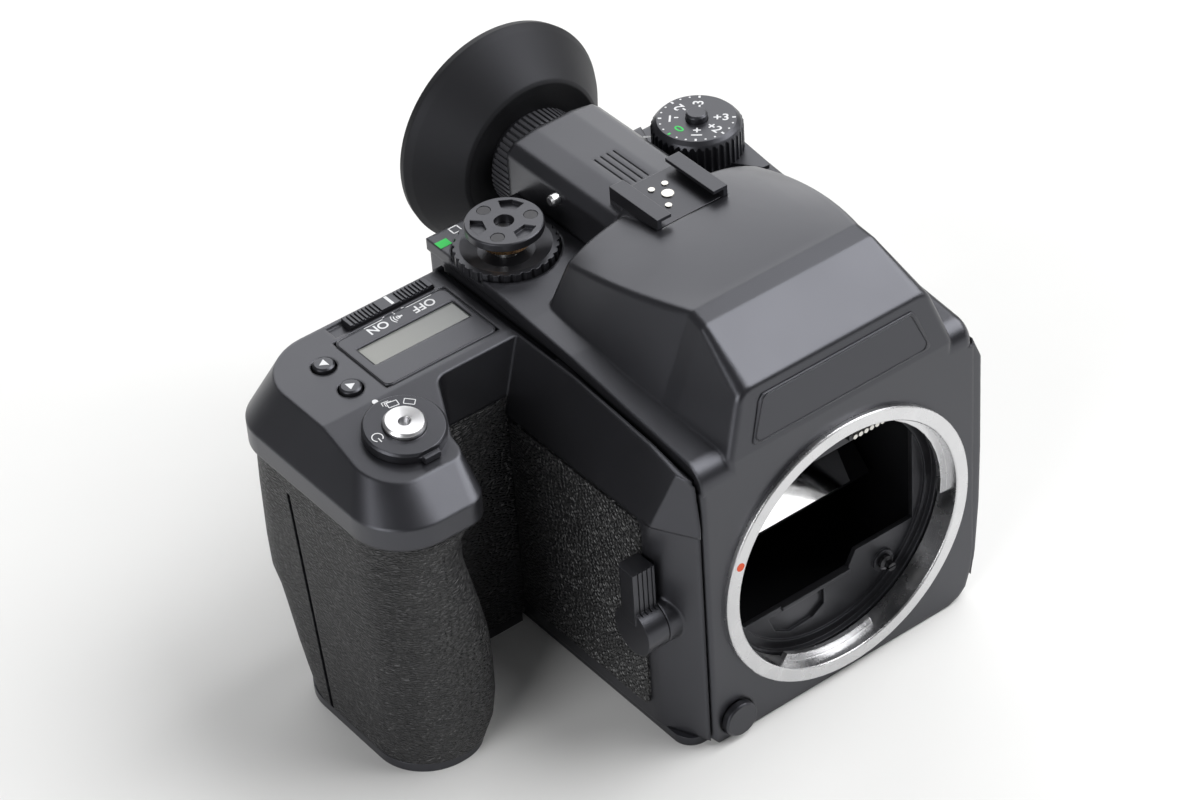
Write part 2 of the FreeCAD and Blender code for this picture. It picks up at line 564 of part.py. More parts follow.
leanFoot = size("plateFoot") - 1.5
leanHigh = size("browHigh") + 1.4
roofLines = roofOutlines(0, size("coverFoot") + 2, size("roofEdge"))
roof = Part.makeLoft(roofLines, True, False)
rearEdges = [edge for edge in roof.Edges if abs(edge.BoundBox.YMin - size("humpRear")) < 0.05
             and edge.BoundBox.YLength < 0.1 and edge.BoundBox.ZMax > size("shoulderMid") + 4
             and edge.Length > 8 and edge.BoundBox.ZMin > size("shoulderMid")]
roof = roof.makeFillet(2.5, rearEdges)
nose = Part.makeLoft([noseOutline(0, 0, size("browRound"), size("panelShoulder") - 0.5),
                      noseOutline(size("ridgeBack") - size("ridgeSoft"), 0, size("roofEdge"), size("coverFoot") + 1.8),
                      roofLines[0]], True, True)
lean = Part.Face(Part.makePolygon([Vector(-50, level, high) for level, high in (
    (0, leanFoot), (-5, leanFoot), (-5, leanHigh), (size("browLean"), leanHigh), (0, leanFoot))])).extrude(Vector(100, 0, 0))
nose = nose.cut(lean)


def onFinderFront(edge):
    middle = edge.valueAt((edge.FirstParameter + edge.LastParameter) / 2)
    points = [vertex.Point for vertex in edge.Vertexes] + [middle]
    slope = size("browLean") / (leanHigh - leanFoot)
    return all(abs(point.y - max(0, (point.z - leanFoot) * slope)) < 0.02 for point in points)


frontEdges = [edge for edge in nose.Edges if onFinderFront(edge) and edge.BoundBox.ZMax > size("panelShoulder")
              and (edge.BoundBox.ZMax > leanFoot + 1 or edge.BoundBox.ZLength > 0.1)]
nose = nose.makeFillet(1.6, frontEdges)
humpPiece = doc.addObject("Part::Feature", "HumpShape")
humpPiece.Shape = roof.fuse(nose)
innerLines = roofOutlines(size("humpWall"), size("coverFoot") - 1, 1.0)
hollowNose = Part.makeLoft([noseOutline(7, size("humpWall") + 0.8, 1.0, size("coverFoot") - 1), innerLines[0]], True, True)
hollowPiece = doc.addObject("Part::Feature", "HollowShape")
hollowPiece.Shape = Part.makeLoft(innerLines, True, False).fuse(hollowNose)
coverTools = fuse("CoverTools", [
    hollowPiece,
    rod("EyepieceHole", "Y", "eyeBore", "humpWall + 2", "0", "humpRear - humpWall - 1", "eyeHeight"),
    block("CoverRoom", ("-panelLeft - 1", "panelRight + 1"), ("panelThick", "humpRear - 1"), ("coverFoot - 5", "coverFoot")),
    block("ShoeSeat", ("-shoeHalf - 0.05", "shoeHalf + 0.05"), ("shoeFront - 0.05", "humpRear + 1"),
          ("shoeFloor - 0.72", "shoeFloor + 4"))])
node(cut("FrontTopCover", fuse("CoverShell", [panel, cover, plinth, humpPiece]), coverTools), "top_cover")

# Eyepiece housing: a flat-sided tunnel with an arched top, open through its length
tunnel = newBody("EyepieceHousing", wall,
                 [[("-tubeHalf", "coverFoot + 0.1"), ("tubeHalf", "coverFoot + 0.1"),
                   ("tubeHalf", "tubeTop - 3.4"), ("tubeHalf - 2.6", "tubeTop - 1.1"), ("5.5", "tubeTop"),
                   ("-5.5", "tubeTop"), ("-tubeHalf + 2.6", "tubeTop - 1.1"), ("-tubeHalf", "tubeTop - 3.4")]],
                 "tubeFront", "tubeRear - tubeFront")
pad(tunnel, "EndRing", wall, [("0", "eyeHeight", "tubeHalf - 0.3")], "coverRear + 0.3", "tubeRear - coverRear - 0.3")
pad(tunnel, "Collar", wall, [("0", "eyeHeight", "collarRadius")], "tubeRear", "collarLong")
carve(tunnel, "EyeBore", wall, [("0", "eyeHeight", "eyeBore")], "tubeFront", "tubeRear + collarLong - tubeFront")
pad(tunnel, "ShoeRest", plan, [rect(("-shoeHalf", "shoeHalf"), ("tubeFront", "shoeFront + shoeLong"))],
    "tubeTop - 0.6", "shoeFloor - tubeTop - 0.12")
carve(tunnel, "Grooves", plan, [rect(("%g" % start, "%g" % (start + 0.5)), ("tubeFront + 7.3", "tubeRear - 20"))
                                for start in (-3.1, -1.2, 0.7, 2.6)], "tubeTop - 0.35", "1")
carve(tunnel, "StudHole", side, [("87.6", "tubeTop - 5.4", "1.2")], "-tubeHalf", "1.5")
soften(tunnel, "TunnelEdges", "1.2", lambda edge: alongAxis(edge, Y) and edge.BoundBox.ZMin > size("tubeTop") - 4
       and abs(edge.Vertexes[0].X) > 11)
node(tunnel, "eyepiece_housing")

stud = turned("EyepieceStud", [("0", "0"), ("1.15", "0"), ("1.15", "1.6"), ("1.5", "1.6"), ("1.5", "3.4"),
                               ("1.1", "4"), ("0", "4")])
node(stud, "eyepiece_stud", "-tubeHalf + 1.5", "87.6", "tubeTop - 5.4", axis="-X")

eyeLens = turned("EyeLens", [("0", "0"), ("eyeBore - 0.03", "0"), ("eyeBore - 0.03", "2.6"), ("6", "3.6"), ("0", "4")])
node(eyeLens, "eyepiece_lens", "0", "tubeRear + collarLong - 8", "eyeHeight", axis="Y")

# Knurled eyepiece ring, free on the collar
knurl = turned("DioptreRing", [("collarRadius + running", "0"), ("dioptreRadius", "0"), ("dioptreRadius", "dioptreLong"),
                               ("collarRadius + running", "dioptreLong")])
carve(knurl, "Rib", plan, [rect(("dioptreRadius - 0.5", "dioptreRadius + 1"), ("-0.35", "0.35"))], "0", "dioptreLong")
ribs = knurl.newObject("PartDesign::PolarPattern", "Ribs")
ribs.Originals = [knurl.Tip]
ribs.Axis = (knurl.Group[0], ["V_Axis"])
ribs.Angle = 360
ribs.Occurrences = 56
knurl.Tip = ribs
node(knurl, "dioptre_ring", "0", "tubeRear + 0.15", "eyeHeight", axis="Y")

# Eyecup: a wide rubber bell on the end of the collar
cup = turned("Eyecup", [("collarRadius + 0.02", "2"), ("cupThroat - 3", "1"), ("cupThroat", "0"),
                        ("cupThroat + 1", "0.6"), ("cupRadius - 1.2", "cupRear - cupFront - 4"),
                        ("cupRadius", "cupRear - cupFront - 2"), ("cupRadius - 0.4", "cupRear - cupFront"),
                        ("cupRadius - 2.2", "cupRear - cupFront - 0.4"),
                        ("cupRadius - cupWall - 1.6", "cupRear - cupFront - 4.2"), ("cupThroat - 0.6", "4"),
                        ("collarRadius + 3", "5.4"), ("collarRadius + 0.02", "5.6")])
node(cup, "eyecup", "0", "cupFront + 1.4", "eyeHeight", axis="Y")

# Accessory shoe: floor, two folded rails and the contacts
shoeFloorPlate = block("ShoeFloorPlate", ("-shoeInner + 0.02", "shoeInner - 0.02"), ("shoeFront + 0.4", "shoeFront + shoeLong"),
                       ("shoeFloor - 0.7", "shoeFloor"))
railEnds = ("shoeFront", "shoeFront + shoeLong")
railParts = []
for sign, word in ((-1, "Left"), (1, "Right")):
    inner = [("%d * shoeHalf" % sign), ("%d * shoeInner" % sign), ("%d * shoeMouth" % sign)]
    wallBlock = block(word + "RailWall", (inner[0], inner[1]) if sign < 0 else (inner[1], inner[0]), railEnds,
                      ("shoeFloor - 0.7", "shoeTop"))
    lipBlock = block(word + "RailLip", (inner[0], inner[2]) if sign < 0 else (inner[2], inner[0]), railEnds,
                     ("shoeTop - sheetThick", "shoeTop"))
    railParts.append(fuse(word + "Rail", [wallBlock, lipBlock]))
node(together("Shoe", [shoeFloorPlate] + railParts), "accessory_shoe")
contactSpots = [("0.3", "shoeFront + 9.8", "1.55"), ("2.3", "shoeFront + 13.4", "0.85"),
                ("-1.7", "shoeFront + 13.5", "0.85"), ("-2.5", "shoeFront + 6", "0.85")]
shoeContacts = [rod("ShoeContact%d" % i, "Z", radius, "0.3", x, y, "shoeFloor")
                for i, (x, y, radius) in enumerate(contactSpots)]
node(together("ShoeContacts", shoeContacts), "shoe_contacts")

# Shutter dial: bare carrier on its post, above the metering ring
speedPost = turned("SpeedPost", [("0", "0"), ("postRadius - 0.02", "0"), ("postRadius - 0.02", "5.8"), ("2.4", "5.8"),
                                 ("2.4", "carrierHigh - shoulderRear + 3.7"), ("0", "carrierHigh - shoulderRear + 3.7")])
stand(speedPost, "-speedLeft", "dialBack", "shoulderRear - 5.98")
carrier = turned("SpeedCarrier", [("2.4 + running", "-3.2"), ("4.6", "-3.2"), ("4.6", "-0.9"), ("carrierRadius - 0.4", "0"),
                                  ("carrierRadius", "0.3"), ("carrierRadius", "carrierThick - 0.3"),
                                  ("carrierRadius - 0.3", "carrierThick"), ("2.4 + running", "carrierThick")])
for i in range(3):
    turn = math.radians(40 + 120 * i)
    cosine, sine = math.cos(turn), math.sin(turn)
    carve(carrier, "Window%d" % i, plan, [[("%g * %g" % (r, math.cos(turn + a)), "%g * %g" % (r, math.sin(turn + a)))
                                          for r, a in ((5.2, -0.36), (8.2, -0.4), (8.5, 0), (8.2, 0.4), (5.2, 0.36))]],
          "carrierThick - 1.1", "2")
    carve(carrier, "ScrewSeat%d" % i, plan, [("6.7 * %g" % math.cos(turn + math.pi / 3),
                                              "6.7 * %g" % math.sin(turn + math.pi / 3), "1.75")],
          "carrierThick - 0.9", "2")
node(carrier, "speed_dial_carrier", "-speedLeft", "dialBack", "carrierHigh - carrierThick")
carrierScrews = [rod("CarrierScrew%d" % i, "Z", "1.65", "0.8",
                     "-speedLeft + 6.7 * %g" % math.cos(math.radians(100 + 120 * i)),
                     "dialBack + 6.7 * %g" % math.sin(math.radians(100 + 120 * i)), "carrierHigh - 0.9")
                 for i in range(3)]
node(together("CarrierScrews", carrierScrews), "carrier_screws")
clickSpring = cut("ClickSpring", rod("ClickOuter", "Z", "6.4", "1.5", "-speedLeft", "dialBack", "carrierHigh - carrierThick - 3.1"),
                  rod("ClickInner", "Z", "4.61", "3", "-speedLeft", "dialBack", "carrierHigh - carrierThick - 4"))
node(clickSpring, "click_spring")
meter = turned("MeterRing", [("postRadius + running", "0"), ("meterRadius", "0"), ("meterRadius", "meterThick"),
                             ("meterInner", "meterThick"), ("7", "1"), ("postRadius + running", "1")])
carve(meter, "Tooth", plan, [("meterRadius + 0.15", "0", "0.7")], "0", "meterThick")
teeth = meter.newObject("PartDesign::PolarPattern", "Teeth")
teeth.Originals = [meter.Tip]
teeth.Axis = (meter.Group[0], ["V_Axis"])
teeth.Angle = 360
teeth.Occurrences = 30
meter.Tip = teeth
node(meter, "metering_ring", "-speedLeft", "dialBack", "shoulderRear - 1.1")

# Compensation dial with its lock button, index block and lever
compLow = "shoulderRear + 1.3"
comp = turned("CompDial", [("lockRadius + running", "0"), ("compRadius", "0"), ("compRadius", "compTop - shoulderRear - 3.2"),
                           ("compFace + 0.7", "compTop - shoulderRear - 2.2"), ("compFace + 0.2", "compTop - shoulderRear - 1.7"),
                           ("compFace - 0.2", "compTop - shoulderRear - 1.3"), ("lockRadius + running", "compTop - shoulderRear - 1.3")])
carve(comp, "Flute", plan, [("compRadius + 0.35", "0", "0.8")], "0", "compTop - shoulderRear - 2.3")
flutes = comp.newObject("PartDesign::PolarPattern", "Flutes")
flutes.Originals = [comp.Tip]
flutes.Axis = (comp.Group[0], ["V_Axis"])
flutes.Angle = 360
flutes.Occurrences = 40
comp.Tip = flutes
node(comp, "compensation_dial", "compRight", "dialBack", compLow)
lock = turned("DialLock", [("0", "1.3"), ("lockRadius - 0.02", "1.3"), ("lockRadius - 0.02", "compTop - shoulderRear + lockProud - 1.8"),
                           ("lockRadius - 0.5", "compTop - shoulderRear + lockProud - 1.3"),
                           ("0", "compTop - shoulderRear + lockProud - 1.3")])
node(lock, "dial_lock_button", "compRight", "dialBack", compLow)
compPost = rod("CompPost", "Z", "postRadius - 0.02", "7.1", "compRight", "dialBack", "shoulderRear - 5.98")
node(together("DialPosts", [speedPost, compPost]), "dial_posts")
lever = newBody("CompLever", plan, [[("-9.4", "4"), ("-8", "-7"), ("2", "-11"), ("6.2", "-17.2"), ("8.2", "-17.6"),
                                     ("8.8", "-15.6"), ("10.2", "-3"), ("6", "8"), ("-4", "9.4")],
                                    ("0", "0", "postRadius + running")], "0", "1.05")
node(lever, "compensation_lever", "compRight", "dialBack", "shoulderRear + 0.12")

# Body shell on the grip side and its leather-grained panel
shell = newBody("SideShell", plan, [[("-chassisLeft - 0.1", "panelThick + 0.2"), ("-panelLeft - 0.8", "panelThick + 0.2"),
                                     ("-panelLeft - 0.8", "0.2"), ("-wallOuter + 0.7", "12.8"),
                                     ("-wallOuter + 0.7", "armFront - 0.2"), ("-chassisLeft - 0.1", "armFront - 0.2")]],
                "baseThick", "wallFoot - baseThick - 0.1")
soften(shell, "ShellCorner", "9", lambda edge: alongAxis(edge, Z) and edge.BoundBox.YMin > 12
       and edge.BoundBox.YMax < 13.5 and edge.BoundBox.XMax < -48)
pad(shell, "HubBoss", side, [("hubBack", "hubHigh", "hubRadius")], "-wallOuter", "wallOuter - 45")
carve(shell, "HubBore", side, [("hubBack", "hubHigh", "hubStem + running")], "-wallOuter - 0.1", "wallOuter + 0.1 - 46")
node(shell, "side_shell")
leather = newBody("SideLeatherette", side, [rect(("15.4", "armFront - 1.4"), ("7", "wallFoot - 1"))],
                  "-wallOuter", "0.7")
soften(leather, "LeatherCorners", "2.5", lambda edge: alongAxis(edge, X))
carve(leather, "HubClear", side, [("hubBack", "hubHigh", "hubRadius + 0.9")], "-wallOuter", "0.7")

# Shell on the other side, with the second tripod bush
left = newBody("LeftCover", wall, [[("chassisRight + 0.1", "3"), ("chassisRight + 0.7", "3"),
                                    ("chassisRight + sideDeep - 2.7", "9.4"), ("chassisRight + sideDeep - 1.4", "15"),
                                    ("chassisRight + sideDeep - 0.4", "28"), ("chassisRight + sideDeep", "lensHeight + 5"),
                                    ("chassisRight + sideDeep", "coverFoot - 8.3"), ("panelRight + 0.3", "coverFoot - 0.4"),
                                    ("chassisRight + 0.1", "coverFoot - 0.1")]], "0.9", "chassisRear - 0.9")
carve(left, "PanelRoom", plan, [rect(("chassisRight - 1", "panelRight + 0.15"), ("0", "panelThick + 0.2"))],
      "0", "coverFoot + 5")
carve(left, "SideBushSeat", side, [("socketBack + 6", "lensHeight", "bushRadius")], "chassisRight", "sideDeep + 1")
soften(left, "LeftFront", "0.8", lambda edge: edge.BoundBox.YMax < 0.91 and edge.BoundBox.XMin > size("panelRight") + 2
       and edge.Length > 5)
node(left, "left_side_cover")
leftSkin = newBody("LeftLeatherette", side, [rect(("28", "chassisRear - 8"), ("lensHeight + 6", "coverFoot - 10"))],
                   "chassisRight + sideDeep", "0.5")
soften(leftSkin, "LeftSkinCorners", "3", lambda edge: alongAxis(edge, X) and len(edge.Vertexes) == 2)
node(together("Leatherettes", [leather, leftSkin]), "leatherette_panels")
sideBush = cut("SideBush", rod("SideBushOuter", "X", "bushRadius - 0.02", "sideDeep + 3", "chassisRight - 3", "socketBack + 6",
                                  "lensHeight"),
               rod("SideBushThread", "X", "threadRadius", "threadDeep", "chassisRight + sideDeep - threadDeep",
                   "socketBack + 6", "lensHeight"))
node(together("TripodSockets", [baseBush, sideBush]), "tripod_sockets")

# A closed wire of straight sides and tangent arcs; each corner is (x, y, radius)
def roundedWire(corners, level):
    count = len(corners)
    points = [Vector(x, y, level) for x, y, r in corners]
    starts, ends, mids = [], [], []
    for i, (x, y, r) in enumerate(corners):
        here = points[i]
        before = (points[i - 1] - here).normalize()
        after = (points[(i + 1) % count] - here).normalize()
        half = math.acos(max(-1, min(1, before.dot(after)))) / 2
        reach = r / math.tan(half)
        starts.append(here + before * reach)
        ends.append(here + after * reach)
        bisector = (before + after).normalize()
        mids.append(here + bisector * (r / math.sin(half) - r))
    edges = []
    for i in range(count):
        edges.append(Part.Arc(starts[i], mids[i], ends[i]).toShape())
        edges.append(Part.LineSegment(ends[i], starts[(i + 1) % count]).toShape())
    return Part.Wire(edges)


# Grip: a column between outlines at several levels, hollowed by its core, with the cap above it
outer = size("gripOuter")
front = size("gripFront")
inner = size("gripInner")
rear = size("gripRear")
arm = size("armFront")
bandFoot = size("bandFoot")
wallX = size("wallOuter")
inboard = -size("stripInner")


def gripOutline(level, scoop, bend, frontEdge, rearEdge, inset):
    """The finger side stands back by the scoop; the inset makes the smaller outline of the core."""
    dent = inner + scoop
    return roundedWire([(inboard, arm + inset, 0.3), (-inner + 8, arm + inset, 4), (-inner, 50 + inset, 1.5),
                        (-dent - inset, 46 + inset, 2), (-dent - inset, frontEdge + inset, bend - inset),
                        (-outer + inset, frontEdge + inset, 15 - inset), (-outer + inset, rearEdge - inset, 16 - inset),
                        (inboard, rearEdge - inset, 0.3)], level)


heelLevels = [(size("gripFoot"), 2.5, 11, 1.0, -13), (8, 0.8, 10.5, 0.2, -10.5), (15, 0.4, 9.3, 0, -7.7), (25, 0.4, 9, 0, -4.5),
              (30, 0.6, 9, 0, -2.7), (34, 0.9, 9, 0, 0), (42, 2.2, 9.5, 0, 0.6), (bandFoot - 12.5, size("gripScoop"), 9, 0, 0.4),
              (bandFoot - 5.5, size("gripScoop"), 9, 0, 0), (bandFoot - 2, 4, 8, 0, -0.6), (bandFoot, 1.6, 6, 0, -0.7)]


def gripColumn(inset):
    wires = [gripOutline(level, scoop, bend, front + ahead, rear + behind, inset)
             for level, scoop, bend, ahead, behind in heelLevels]
    return Part.makeLoft(wires, True, True)


coreColumn = gripColumn(size("skinThick"))
top = gripOutline(bandFoot, 1.6, 6, front, rear - 0.7, size("skinThick"))
neck = Part.Face(top).extrude(Vector(0, 0, size("capFoot") - bandFoot - 0.1))
cellSpots = [("-96.2 + 0.8 * %d + %d * cellPitch" % (row, column), "57.2 + %d * cellPitch" % row)
             for column in (0, 1) for row in (0, 1, 2)]
columnPiece = doc.addObject("Part::Feature", "GripColumn")
columnPiece.Shape = gripColumn(0)
corePiece = doc.addObject("Part::Feature", "GripCoreColumn")
corePiece.Shape = coreColumn.fuse(neck)
wells = fuse("CellWells", [rod("CellWell%d" % i, "Z", "cellRadius + 0.1", "capFoot - cellFoot", x, y, "cellFoot")
                           for i, (x, y) in enumerate(cellSpots)])
node(cut("GripRubber", columnPiece, corePiece), "grip_rubber")
coreRest = doc.addObject("Part::Feature", "GripCoreRest")
coreRest.Shape = corePiece.Shape
node(cut("GripCore", coreRest, wells), "grip_core")

cells = [rod("Cell%d" % i, "Z", "cellRadius", "cellLong", x, y, "cellFoot + 0.2") for i, (x, y) in enumerate(cellSpots)]
node(together("Cells", cells), "battery_cells")


# The cap flares from the band to a smaller top
low = [(inboard, arm, 0.3), (-inner + 8.5, arm, 4), (-inner - 0.6, 50, 4), (-inner - 0.6, front - 0.4, 6),
       (-outer - 0.6, front - 0.4, 15), (-outer - 0.6, rear + 0.4, 14), (inboard, rear + 0.4, 0.3)]
high = [(inboard, arm, 0.3), (-inner + 8.4, arm, 4), (-inner + 0.4, 50, 9), (-inner - 1.6, 47.5, 3), (-98.4, 48, 9),
        (-98.4, 99.5, 15), (inboard, 99.5, 0.3)]
band = Part.Face(roundedWire(low, size("bandFoot") + 0.05)).extrude(Vector(0, 0, size("capFoot") - size("bandFoot")))
flare = Part.makeLoft([roundedWire(low, size("capFoot") + 0.05), roundedWire(high, size("gripTop"))], True, True)
fall = math.radians(size("frontFall"))
slopeTool = Part.makeBox(80, 80, 20, Vector(-120, size("fallStart") - 80, size("gripTop")))
slopeTool.rotate(Vector(0, size("fallStart"), size("gripTop")), Vector(1, 0, 0), size("frontFall"))
# The side wall below the edge strip, its chamfered front end and the groove beside the cover
wallTop = size("wallTopEdge")
wallFoot = size("wallFoot")
gripTop = size("gripTop")
wallProfile = [Vector(inboard, 0, gripTop), Vector(-wallTop, 0, gripTop), Vector(-wallX, 0, wallFoot),
               Vector(-wallX + 2.4, 0, wallFoot), Vector(inboard, 0, wallFoot + 15)]
wallSolid = Part.Face(Part.makePolygon([point + Vector(0, 1, 0) for point in wallProfile + wallProfile[:1]]))
wallSolid = wallSolid.extrude(Vector(0, size("coverRear") - 5.8, 0))
noseInner = -size("panelLeft") - 0.8
noseProfile = [Vector(-wallX + 2.3, 0, wallFoot), Vector(noseInner, 0, wallFoot), Vector(noseInner, 0, wallFoot + 11)]
noseFill = Part.Face(Part.makePolygon(noseProfile + noseProfile[:1])).extrude(Vector(0, 12, 0))
wallSolid = wallSolid.fuse(noseFill)


def acrossWall(line, left, right, above):
    """A slab over a line of (back, height) points, from one x to another."""
    corners = [Vector(left, y, z) for y, z in line]
    corners += [Vector(left, y, z + above) for y, z in reversed(line)]
    return Part.Face(Part.makePolygon(corners + corners[:1])).extrude(Vector(right - left, 0, 0))


edgeLine = [(-5, gripTop - 5.9), (1, size("stripFront")), (16, gripTop - 2.4), (30, gripTop - 1.2), (45, gripTop),
            (110, gripTop)]
stripCut = acrossWall(edgeLine, -60, -30, 12)
grooveInner = -size("coverLeft")
grooveCut = acrossWall([(-5, gripTop - 7.1), (20, gripTop - 4.4), (35, gripTop - 2.4), (48, gripTop - 0.7), (53, gripTop - 0.4)],
                       grooveInner - size("grooveWide"), -30, 12)
rearGroove = Part.makeBox(size("grooveWide") + 12, 46, 4, Vector(grooveInner - size("grooveWide"), 53, gripTop - 1.2))
noseCut = Part.makeBox(2.3, 4.3, 40, Vector(-43.3, -1, 60))
chamferEnds = []
for level, shift in ((60, -0.86), (90, 3.0)):
    chamferEnds.append(Part.makePolygon([Vector(x, y + shift, level) for x, y in (
        (-43.2, -0.8), (-53, 17.2), (-62, 17.2), (-62, -8), (-43.2, -8), (-43.2, -0.8))]))
chamferCut = Part.makeLoft(chamferEnds, True, True)
wallRear = Part.makeBox(20, 40, size("capFoot") - 60 + 0.05, Vector(-60, arm, 60))
wallSolid = wallSolid.cut([stripCut, grooveCut, rearGroove, noseCut, chamferCut, wallRear])
cavity = neck.fuse(coreColumn)
flare = flare.cut([slopeTool, rearGroove])
capShape = flare.fuse([band.cut(cavity), wallSolid]).removeSplitter()
bezelSeat = Part.makeBox(size("lcdLeft") - size("lcdRight"), size("lcdRear") - size("lcdFront"), size("bezelDeep") + 1,
                         Vector(-size("lcdLeft"), size("lcdFront"), size("gripTop") - size("bezelDeep")))
seatTools = [bezelSeat]
for back in (size("upBack"), size("downBack")):
    seatTools.append(Part.makeCylinder(size("smallButton") + 0.3, 4, Vector(-size("rowLeft"), back, size("gripTop") - 3)))
slot = (size("switchLeft") + size("switchTravel") + 0.3, size("switchLong") + size("switchTravel") + 0.5)
seatTools.append(Part.makeBox(slot[1], size("switchWide") + 0.5, 1.5,
                              Vector(-slot[0], size("switchBack") - size("switchWide") / 2 - 0.25, size("gripTop") - 0.8)))
driveAxis = Vector(0, -math.sin(fall), math.cos(fall))
driveFoot = Vector(-size("driveLeft"), size("driveBack"),
                   size("gripTop") - (size("fallStart") - size("driveBack")) * math.tan(fall))
seatTools.append(Part.makeCylinder(size("releaseRadius") - 1, 8, driveFoot - driveAxis * 7, driveAxis))
capShape = capShape.cut(seatTools)
capPiece = doc.addObject("Part::Feature", "GripCap")
capPiece.Shape = capShape
node(capPiece, "grip_cap")

foot = newBody("GripFoot", plan, [[("-wallOuter - 0.3", "armFront"), ("-gripInner + 8", "armFront"),
                                  ("-gripInner - 3", "48"), ("-gripInner - 3", "gripFront + 1.6"),
                                  ("-gripOuter", "gripFront + 1.6"), ("-gripOuter", "gripRear - 13.4"),
                                  ("-wallOuter - 0.3", "gripRear - 13.4")]], "0", "gripFoot - 0.05")
soften(foot, "FootOuter", "14", lambda edge: alongAxis(edge, Z) and edge.BoundBox.XMax < 1 - size("gripOuter"))
soften(foot, "FootInner", "11", lambda edge: alongAxis(edge, Z) and edge.BoundBox.YMax < size("gripFront") + 2
       and edge.BoundBox.XMin > -size("gripInner") - 4 and edge.BoundBox.XMax < -size("gripInner"))
carve(foot, "LockSeat", plan, [("-90", "58", "7")], "0", "1.4")
node(foot, "grip_foot")
lockKnob = newBody("BatteryLock", plan, [("-90", "58", "6.9")], "0.15", "1.2")
carve(lockKnob, "CoinSlot", plan, [rect(("-95", "-85"), ("57.2", "58.8"))], "0.15", "0.7")
node(lockKnob, "battery_lock")

# Display bezel, its window and the glass in it
bezel = newBody("DisplayBezel", plan, [rect(("-lcdLeft + 0.1", "-lcdRight - 0.1"), ("lcdFront + 0.1", "lcdRear - 0.1")),
                                       rect(("-windowLeft", "-windowRight"), ("windowFront", "windowRear"))],
                "gripTop - bezelDeep", "bezelDeep + 0.15")
soften(bezel, "BezelCorners", "2", lambda edge: alongAxis(edge, Z) and (edge.BoundBox.YMin > size("lcdRear") - 1
                                                                         or edge.BoundBox.YMax < size("lcdFront") + 1))
node(bezel, "display_bezel")
glass = block("DisplayGlass", ("-windowLeft + 0.02", "-windowRight - 0.02"), ("windowFront + 0.02", "windowRear - 0.02"),
              ("gripTop - bezelDeep", "gripTop - 0.35"))
node(glass, "display_glass")

# Main switch, round buttons, drive dial and release button
slider = block("MainSwitch", ("-switchLeft", "-switchLeft + switchLong"),
               ("switchBack - switchWide / 2", "switchBack + switchWide / 2"), ("gripTop - 0.75", "gripTop + 1.1"))
ribStarts = [0.9 + 1.1 * i for i in range(8)] + [14.6 + 1.1 * i for i in range(8)]
ribCuts = together("SwitchRibs", [block("SwitchRib%d" % i, ("-switchLeft + %g" % start, "-switchLeft + %g" % (start + 0.5)),
                                        ("switchBack - switchWide", "switchBack + switchWide"),
                                        ("gripTop + 0.7", "gripTop + 2")) for i, start in enumerate(ribStarts)])
node(cut("MainSwitchRibbed", slider, ribCuts), "main_switch")
for name, back in (("Up", "upBack"), ("Down", "downBack")):
    button = turned(name + "Button", [("0", "0"), ("smallButton - 0.25", "0"), ("smallButton - 0.25", "2.6"),
                                      ("smallButton - 0.7", "3"), ("0", "3")])
    node(button, name.lower() + "_button", "-rowLeft", back, "gripTop - 2")
driveZ = "gripTop - (fallStart - driveBack) * tan(frontFall)"
drive = turned("DriveDial", [("releaseRadius + running", "0"), ("driveRadius", "0"), ("driveRadius", "driveThick - 0.5"),
                             ("driveRadius - 0.5", "driveThick"), ("releaseRadius + running", "driveThick")])
pad(drive, "Tab", plan, [rect(("-2.2", "2.2"), ("-driveRadius - 1.2", "-driveRadius + 2"))], "0.2", "driveThick - 0.9")
carve(drive, "TabNotch", plan, [rect(("-3.2", "3.2"), ("-driveRadius - 0.3", "-driveRadius + 0.5"))], "driveThick - 1.4", "2")
node(drive, "drive_dial", "-driveLeft", "driveBack + 0.1 * sin(-frontFall)", driveZ + " + 0.1", tilt="frontFall")
release = turned("ReleaseButton", [("1.5", "driveThick + releaseProud - 3"), ("1.5", "driveThick + releaseProud - 0.3"),
                                   ("releaseRadius - 0.6", "driveThick + releaseProud"),
                                   ("releaseRadius - 0.05", "driveThick + releaseProud - 0.6"),
                                   ("releaseRadius - 0.05", "0.2 + releaseTravel"),
                                   ("releaseRadius - 1.1", "0.2 + releaseTravel"), ("releaseRadius - 1.1", "-5"), ("0", "-5"),
                                   ("0", "driveThick + releaseProud - 3")])
node(release, "release_button", "-driveLeft", "driveBack", driveZ, tilt="frontFall")

# Lens mount: bright ring with three bayonet lips, its screws, a stepped black baffle
ringTurned = turned("MountRing", [("ringInner", "-ringDeep"), ("ringBody", "-ringDeep"), ("ringBody", "0"), ("ringRadius", "0"),
                                  ("ringRadius", "ringProud - 0.3"), ("ringRadius - 0.3", "ringProud"),
                                  ("ringInner + 0.3", "ringProud"), ("ringInner", "ringProud - 0.3")])
for i, (start, sweep) in enumerate(((-7, 64.0), (130, 64.0), (237, 49.0))):
    arcPoints = []
    steps = 8
    for k in range(steps + 1):
        angle = math.radians(start + sweep * k / steps)
        arcPoints.append(("(ringInner + 0.6) * %.5f" % math.cos(angle), "(ringInner + 0.6) * %.5f" % math.sin(angle)))
    for k in range(steps, -1, -1):
        angle = math.radians(start + sweep * k / steps)
        arcPoints.append(("lipRadius * %.5f" % math.cos(angle), "lipRadius * %.5f" % math.sin(angle)))
    pad(ringTurned, "Lip%d" % i, plan, [arcPoints], "-lipFront - lipDeep", "lipDeep")
node(ringTurned, "mount_ring", "0", "0", "lensHeight", axis="-Y")
screwSpots = [("35 * %.5f" % math.cos(math.radians(a)), "lensHeight + 35 * %.5f" % math.sin(math.radians(a)))
              for a in (18, 90, 162, 234, 306)]
